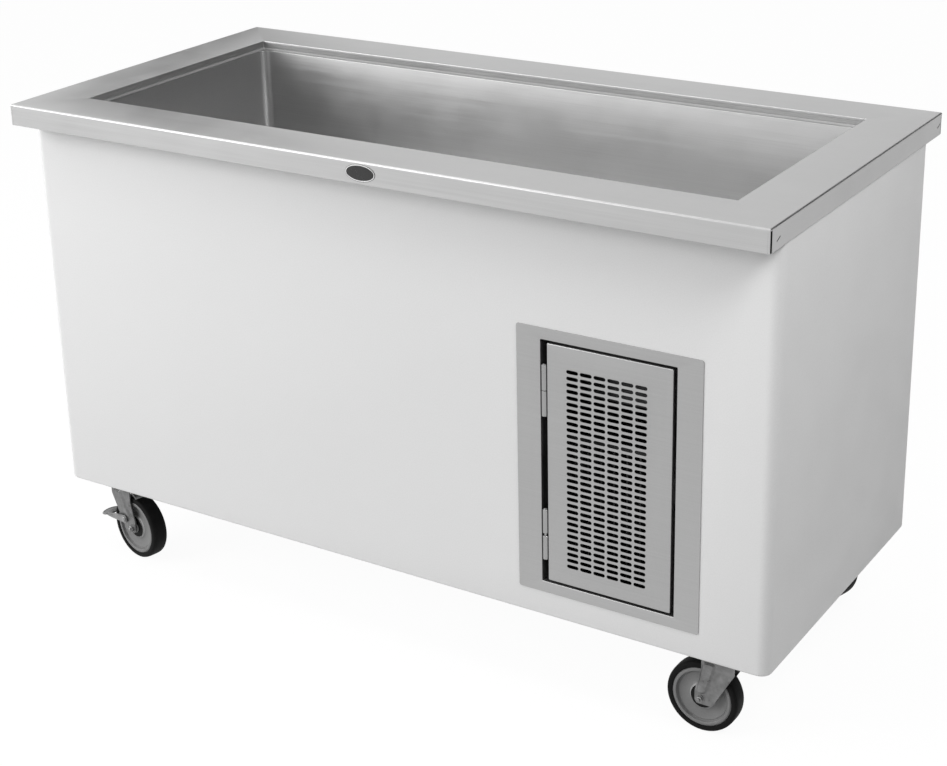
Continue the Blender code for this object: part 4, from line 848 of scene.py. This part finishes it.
def filleted(points, radii, steps=5):
    """A closed outline with rounded corners."""
    made, count = [], len(points)
    for i, (p, r) in enumerate(zip(points, radii)):
        p = Vector(p)
        one, two = Vector(points[i - 1]) - p, Vector(points[(i + 1) % count]) - p
        if not r:
            made.append(tuple(p))
            continue
        half = one.angle(two) / 2
        reach = min(r / tan(half), one.length * 0.49, two.length * 0.49)
        radius = reach * tan(half)
        centre = p + (one.normalized() + two.normalized()).normalized() * (radius / sin(half))
        start, end = p + one.normalized() * reach, p + two.normalized() * reach
        a0 = atan2(*reversed(start - centre))
        turn = (atan2(*reversed(end - centre)) - a0 + pi) % (2 * pi) - pi
        made += [(centre.x + radius * cos(a0 + turn * j / steps),
                  centre.y + radius * sin(a0 + turn * j / steps)) for j in range(steps + 1)]
    return made


def raised(bm, low_outline, high_outline, low, high):
    """A pressed rib standing up from a side plate, between two outlines of equal count."""
    loft(bm, [[(a, low, b) for a, b in low_outline], [(a, high, b) for a, b in high_outline]],
         cap_first=True, cap_last=True)


def hexagon(bm, radius, low, high, centre, axis):
    """A hexagon nut or bolt head with eased ends."""
    ease, end = 0.0006, radius - 0.00096
    turned(bm, [(end, low), (radius, low + ease), (radius, high - ease), (end, high)], 6,
           closed=False, axis=axis, centre=centre)


def inset(outline, by):
    """Outline moved in by a distance, along its corners' bisectors."""
    count, made = len(outline), []
    area = sum(a[0] * b[1] - b[0] * a[1] for a, b in zip(outline, outline[1:] + outline[:1]))
    side = 1 if area > 0 else -1
    for i in range(count):
        a, p, b = Vector(outline[i - 1]), Vector(outline[i]), Vector(outline[(i + 1) % count])
        one, two = (p - a).normalized(), (b - p).normalized()
        normal = (Vector((-one.y, one.x)) + Vector((-two.y, two.x))).normalized() * side
        made.append(tuple(p + normal * by))
    return made


def fork(braked=False):
    """Pressed fork: crown, two legs with a raised rib; the braked one has a bent stop tab."""
    top, eye, axle = 0.1435, -TRAIL, WHEEL_R
    side = filleted([(-0.0290, top + 0.01), (-0.0290, top - 0.0250), (eye - 0.0098, axle + 0.0145),
                     (eye - 0.0096, axle - 0.0030), (eye - 0.0064, axle - 0.0092),
                     (eye + 0.0180, axle - 0.0092), (eye + 0.0225, axle - 0.0070),
                     (0.0290, top - 0.0215), (0.0290, top + 0.01)],
                    [0, 0.012, 0.020, 0.006, 0.006, 0.004, 0.004, 0.006, 0])
    arch = [(-0.0210, 0.04), *arc((-0.0150, top - 0.0060), 0.0060, 180, 90, 6),
            *arc((0.0150, top - 0.0060), 0.0060, 90, 0, 6), (0.0210, 0.04), (0.0183, 0.04),
            *arc((0.0153, top - 0.0060), 0.0030, 0, 90, 4),
            *arc((-0.0153, top - 0.0060), 0.0030, 90, 180, 4), (-0.0183, 0.04)]
    bm = bmesh.new()
    prism(bm, arch, -0.05, 0.05, "X")
    mesh = carved("fork_sheet", bm, [solid(prism, side, -0.05, 0.05, "Y")], "INTERSECT", angle=28)
    bm = bmesh.new()
    bm.from_mesh(mesh)
    right_rib = [(-0.0262, top - 0.0080), (-0.0010, top - 0.0080), (eye + 0.0110, axle + 0.0130),
                 (eye + 0.0020, axle + 0.0100), (eye - 0.0075, axle + 0.0130)]
    left_rib = [(0.0010, top - 0.0080), (0.0262, top - 0.0080), (0.0225, top - 0.0260),
                (eye + 0.0120, axle + 0.0190), (eye + 0.0010, axle + 0.0200)]
    boss = oval((eye, axle), 0.0084, 0.0084, 28)
    for s, proud, outline in ((-1, 0.0244, right_rib), (1, 0.0234, left_rib)):
        rib = filleted(outline, [0.006] * len(outline))
        raised(bm, rib, inset(rib, 0.0036), s * 0.0206, s * proud)
        raised(bm, boss, inset(boss, 0.0008), s * 0.0205, s * 0.0214)
    turned(bm, [(0.0260, top - 0.0002), (0.0262, top + 0.0002), (0.0250, top + 0.0004)], 48,
           closed=False)
    if braked:
        run = [(-0.0240, top - 0.0006), (-0.0300, top - 0.0010), (-0.0460, top - 0.0098),
               (-0.0468, top - 0.0140), (-0.0444, top - 0.0142), (-0.0440, top - 0.0114),
               (-0.0290, top - 0.0034), (-0.0240, top - 0.0030)]
        prism(bm, filleted(run, [0, 0.004, 0.003, 0, 0, 0.002, 0.003, 0], 4), -0.0150, 0.0190, "Y",
              0.0004)
    return new_mesh("caster_fork", bm, 28)


def caster_plate():
    """Top plate, double ball race and kingpin."""
    bm = bmesh.new()
    half_x, half_y, corner, ease, low, high = 0.0475, 0.0335, 0.008, 0.0004, 0.1541, 0.1570
    loft(bm, [ring(half_x - ease, half_y - ease, corner, low),
              ring(half_x, half_y, corner, low + ease), ring(half_x, half_y, corner, high)],
         cap_first=True, cap_last=True)
    turned(bm, [(0.0262, 0.1545), (0.0270, 0.1532), (0.0288, 0.1520), (0.0290, 0.1500),
                (0.0282, 0.1484), (0.0266, 0.1474), (0.0246, 0.1466), (0.0246, 0.1446),
                (0.0062, 0.1442), (0.0062, 0.1400), (0.0105, 0.1399), (0.0105, 0.1352),
                (0.0060, 0.1349)], 56, closed=False)
    for sx in (-1, 1):
        for sy in (-1, 1):
            hexagon(bm, 0.0068, 0.1501, 0.1542, (sx * 0.0385, sy * 0.0245, 0), "Z")
    return new_mesh("caster_plate", bm, 30)


def wheel_core():
    """Disc wheel with its hub and pale hub ring; the hub's recess is near-black as painted shade.
    """
    bm = bmesh.new()
    half = [(0.0051, 0.0165), (0.0098, 0.0170), (0.0108, 0.0164), (0.0113, 0.0150),
            (0.0116, 0.0136), (0.0200, 0.0132), (0.0207, 0.0122), (0.0211, 0.0104),
            (0.0223, 0.0104), (0.0232, 0.0094), (0.0260, 0.0080), (0.0320, 0.0076),
            (0.0400, 0.0088), (0.0428, 0.0098), (0.0436, 0.0094), (0.0448, 0.0094),
            (0.0456, 0.0106), (0.0462, 0.0142), (0.0470, 0.0150), (0.0500, 0.0152),
            (0.0512, 0.0148), (0.0520, 0.0140), (0.0525, 0.0140)]
    turned(bm, half + [(r, -a) for r, a in reversed(half)], 72, axis="Y")
    mesh = new_mesh("wheel_core", bm, 30)
    # Faces in the hub's recess take the near-black painted shade.
    recess_from, recess_to, ring_to = 0.0114, 0.0208, 0.0229
    for face in mesh.polygons:
        r = sqrt(face.center.x ** 2 + face.center.z ** 2)
        in_recess_shade = recess_from < r < recess_to and abs(face.center.y) > 0.002
        face.material_index = 1 if in_recess_shade else 2 if recess_to < r < ring_to else 0
    return mesh


def tyre():
    """Solid tread with rounded shoulders."""
    bm = bmesh.new()
    half = [(0.0529, 0.0140), (0.0531, 0.0156), (0.0548, 0.0161), (0.0585, 0.0160),
            (0.0608, 0.0152), (0.0623, 0.0136), (0.0631, 0.0112), (0.0635, 0.0070),
            (0.0635, 0.0)]
    turned(bm, half + [(r, -a) for r, a in reversed(half[:-1])], 80, axis="Y")
    return new_mesh("tyre", bm, 40)


def axle_bolt():
    """Through bolt with a washer and nut at each end."""
    bm = bmesh.new()
    for s in (-1, 1):
        low, high = sorted((s * 0.0213, s * 0.0223))
        turned(bm, [(0.0076, low), (0.0076, high)], 32, closed=False, axis="Y")
        low, high = sorted((s * 0.0223, s * 0.0264))
        hexagon(bm, 0.0064, low, high, (0, 0, 0), "Y")
        turned(bm, [(0.0034, s * 0.0200), (0.0034, s * 0.0284), (0.0026, s * 0.0292)], 24,
               closed=False, axis="Y")
    turned(bm, [(0.0047, -0.0215), (0.0047, 0.0215)], 24, closed=False, axis="Y")
    return new_mesh("axle_bolt", bm, 30)


def brake_pedal():
    """Foot lever beside the fork with an oval tread pad ahead of the tyre."""
    bm = bmesh.new()
    px, pz, y0 = -TRAIL + 0.020, WHEEL_R + 0.015, 0.0228
    near = -TRAIL + WHEEL_R + 0.0065
    arm = filleted([(px - 0.0075, pz - 0.0075), (px + 0.0070, pz - 0.0085),
                    (near - 0.010, pz - 0.0105), (near + 0.005, pz - 0.0105),
                    (near + 0.005, pz - 0.0050), (px + 0.0080, pz + 0.0065),
                    (px - 0.0060, pz + 0.0080)],
                   [0.005, 0.004, 0.004, 0.001, 0.001, 0.005, 0.005])
    prism(bm, arm, y0, y0 + 0.0026, "Y", 0.0005)
    box(bm, (near - 0.001, y0 - 0.0105, pz - 0.0106), (near + 0.009, y0 + 0.0026, pz - 0.0074),
        0.0010)
    pad, pad_z = (near + 0.0110, 0.0106), pz - 0.0074
    loft(bm, [[(x, y, pad_z + dz) for x, y in oval(pad, 0.0110 * share, 0.0210 * share, 48)]
              for share, dz in ((0.88, -0.0016), (0.97, -0.0012), (1.0, -0.0002), (0.98, 0.0008),
                                (0.90, 0.0015), (0.82, 0.0016), (0.78, 0.0009), (0.40, 0.0014),
                                (0.06, 0.0016))], cap_first=True, cap_last=True)
    turned(bm, [(0.0058, y0 + 0.0024), (0.0058, y0 + 0.0040), (0.0046, y0 + 0.0052)], 28,
           closed=False, axis="Y", centre=(px, 0, pz))
    return new_mesh("brake_pedal", bm, 30)


def casters():
    """Four casters from shared meshes; the left ones have brakes."""
    shapes = {}
    for key, mesh, finishes in (
            ("plate", caster_plate(), (ZINC,)), ("fork", fork(), (ZINC,)),
            ("braked_fork", fork(True), (ZINC,)), ("axle", axle_bolt(), (PEDAL_ZINC,)),
            ("core", wheel_core(), (GREY, HUB_RECESS_SHADE, GREY_LIGHT)), ("tyre", tyre(), (RUBBER,)),
            ("pedal", brake_pedal(), (PEDAL_ZINC,))):
        for finish in finishes:
            mesh.materials.append(finish)
        shapes[key] = mesh
    for corner, heading in HEADINGS.items():
        sx = -1 if corner.endswith("left") else 1
        sy = -1 if corner.startswith("front") else 1
        place = Matrix.Translation((sx * CASTER_X, sy * CASTER_Y, 0))
        swivel = place @ Matrix.Rotation(radians(heading) + pi, 4, "Z")
        hub = swivel @ Matrix.Translation((-TRAIL, 0, WHEEL_R))
        rows = [("top_plate", "plate", "cabinet", "caster_plate", "zinc", place),
                ("pressed_fork", "braked_fork" if sx < 0 else "fork", corner + "_swivel",
                 "fork", "zinc", swivel),
                ("axle", "axle", corner + "_swivel", "axle_bolt", "zinc", hub),
                ("wheel_disc", "core", corner + "_wheel", "wheel_core", "grey_plastic", hub),
                ("tread", "tyre", corner + "_wheel", "tyre", "tyre_rubber", hub)]
        if sx < 0:
            rows.append(("foot_brake", "pedal", corner + "_pedal", "brake_pedal", "zinc", swivel))
        for name, shape, body, node, slot, matrix in rows:
            piece("%s_%s" % (corner, name), shapes[shape], None, body,
                  "%s_%s" % (corner, node), matrix)


# ---------------------------------------------------------------- assembly
piece("top_sheet", counter_top(), STEEL_TOP, "cabinet", "counter_top")
# Painted shade: near-black fill inside the corner seams and interlock slots.
piece("corner_gap_shade", corner_gap_shade(), GAP_SHADE_BLACK, "cabinet", None)
piece("well_pan", cold_pan(), STEEL_WELL, "cabinet", "cold_pan")
piece("breaker_moulding", breaker_frame(), BREAKER, "cabinet", "breaker_frame")
piece("drain_cup", drain_fitting(), STEEL_SMALL, "cabinet", "drain_fitting")
piece("strainer_basket", drain_strainer(), STEEL_SMALL, "strainer", "drain_strainer")
piece("body_moulding", body_shell(), WHITE, "cabinet", "body_shell")
piece("access_frame", grille_frame(), STEEL_FRAME, "cabinet", "grille_frame")
piece("slotted_door", grille_door(), STEEL_DOOR, "door", "grille_door")
for name, high, upper, gap, lower in (("upper", 0.6093, 0.0440, 0.0010, 0.0440),
                                      ("lower", 0.3543, 0.0430, 0.0050, 0.0430)):
    seat = high - upper - gap
    piece("hinge_%s_pin_half" % name,
          hinge_half(seat, seat - lower, FRAME_LEAF_X, pin=(seat - 0.001, seat + gap + 0.030)),
          HINGE_STEEL, "cabinet", "hinge_%s_frame_leaf" % name)
    piece("hinge_%s_cap_half" % name, hinge_half(high, high - upper, DOOR_LEAF_X, lip=True),
          HINGE_STEEL, "door", "hinge_%s_door_leaf" % name)
piece("badge_rim", badge_rim(), BADGE_RIM, "cabinet", "badge_plate")
piece("badge_face", badge_face(), BADGE_FACE, "cabinet", None)
casters()

low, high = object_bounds()
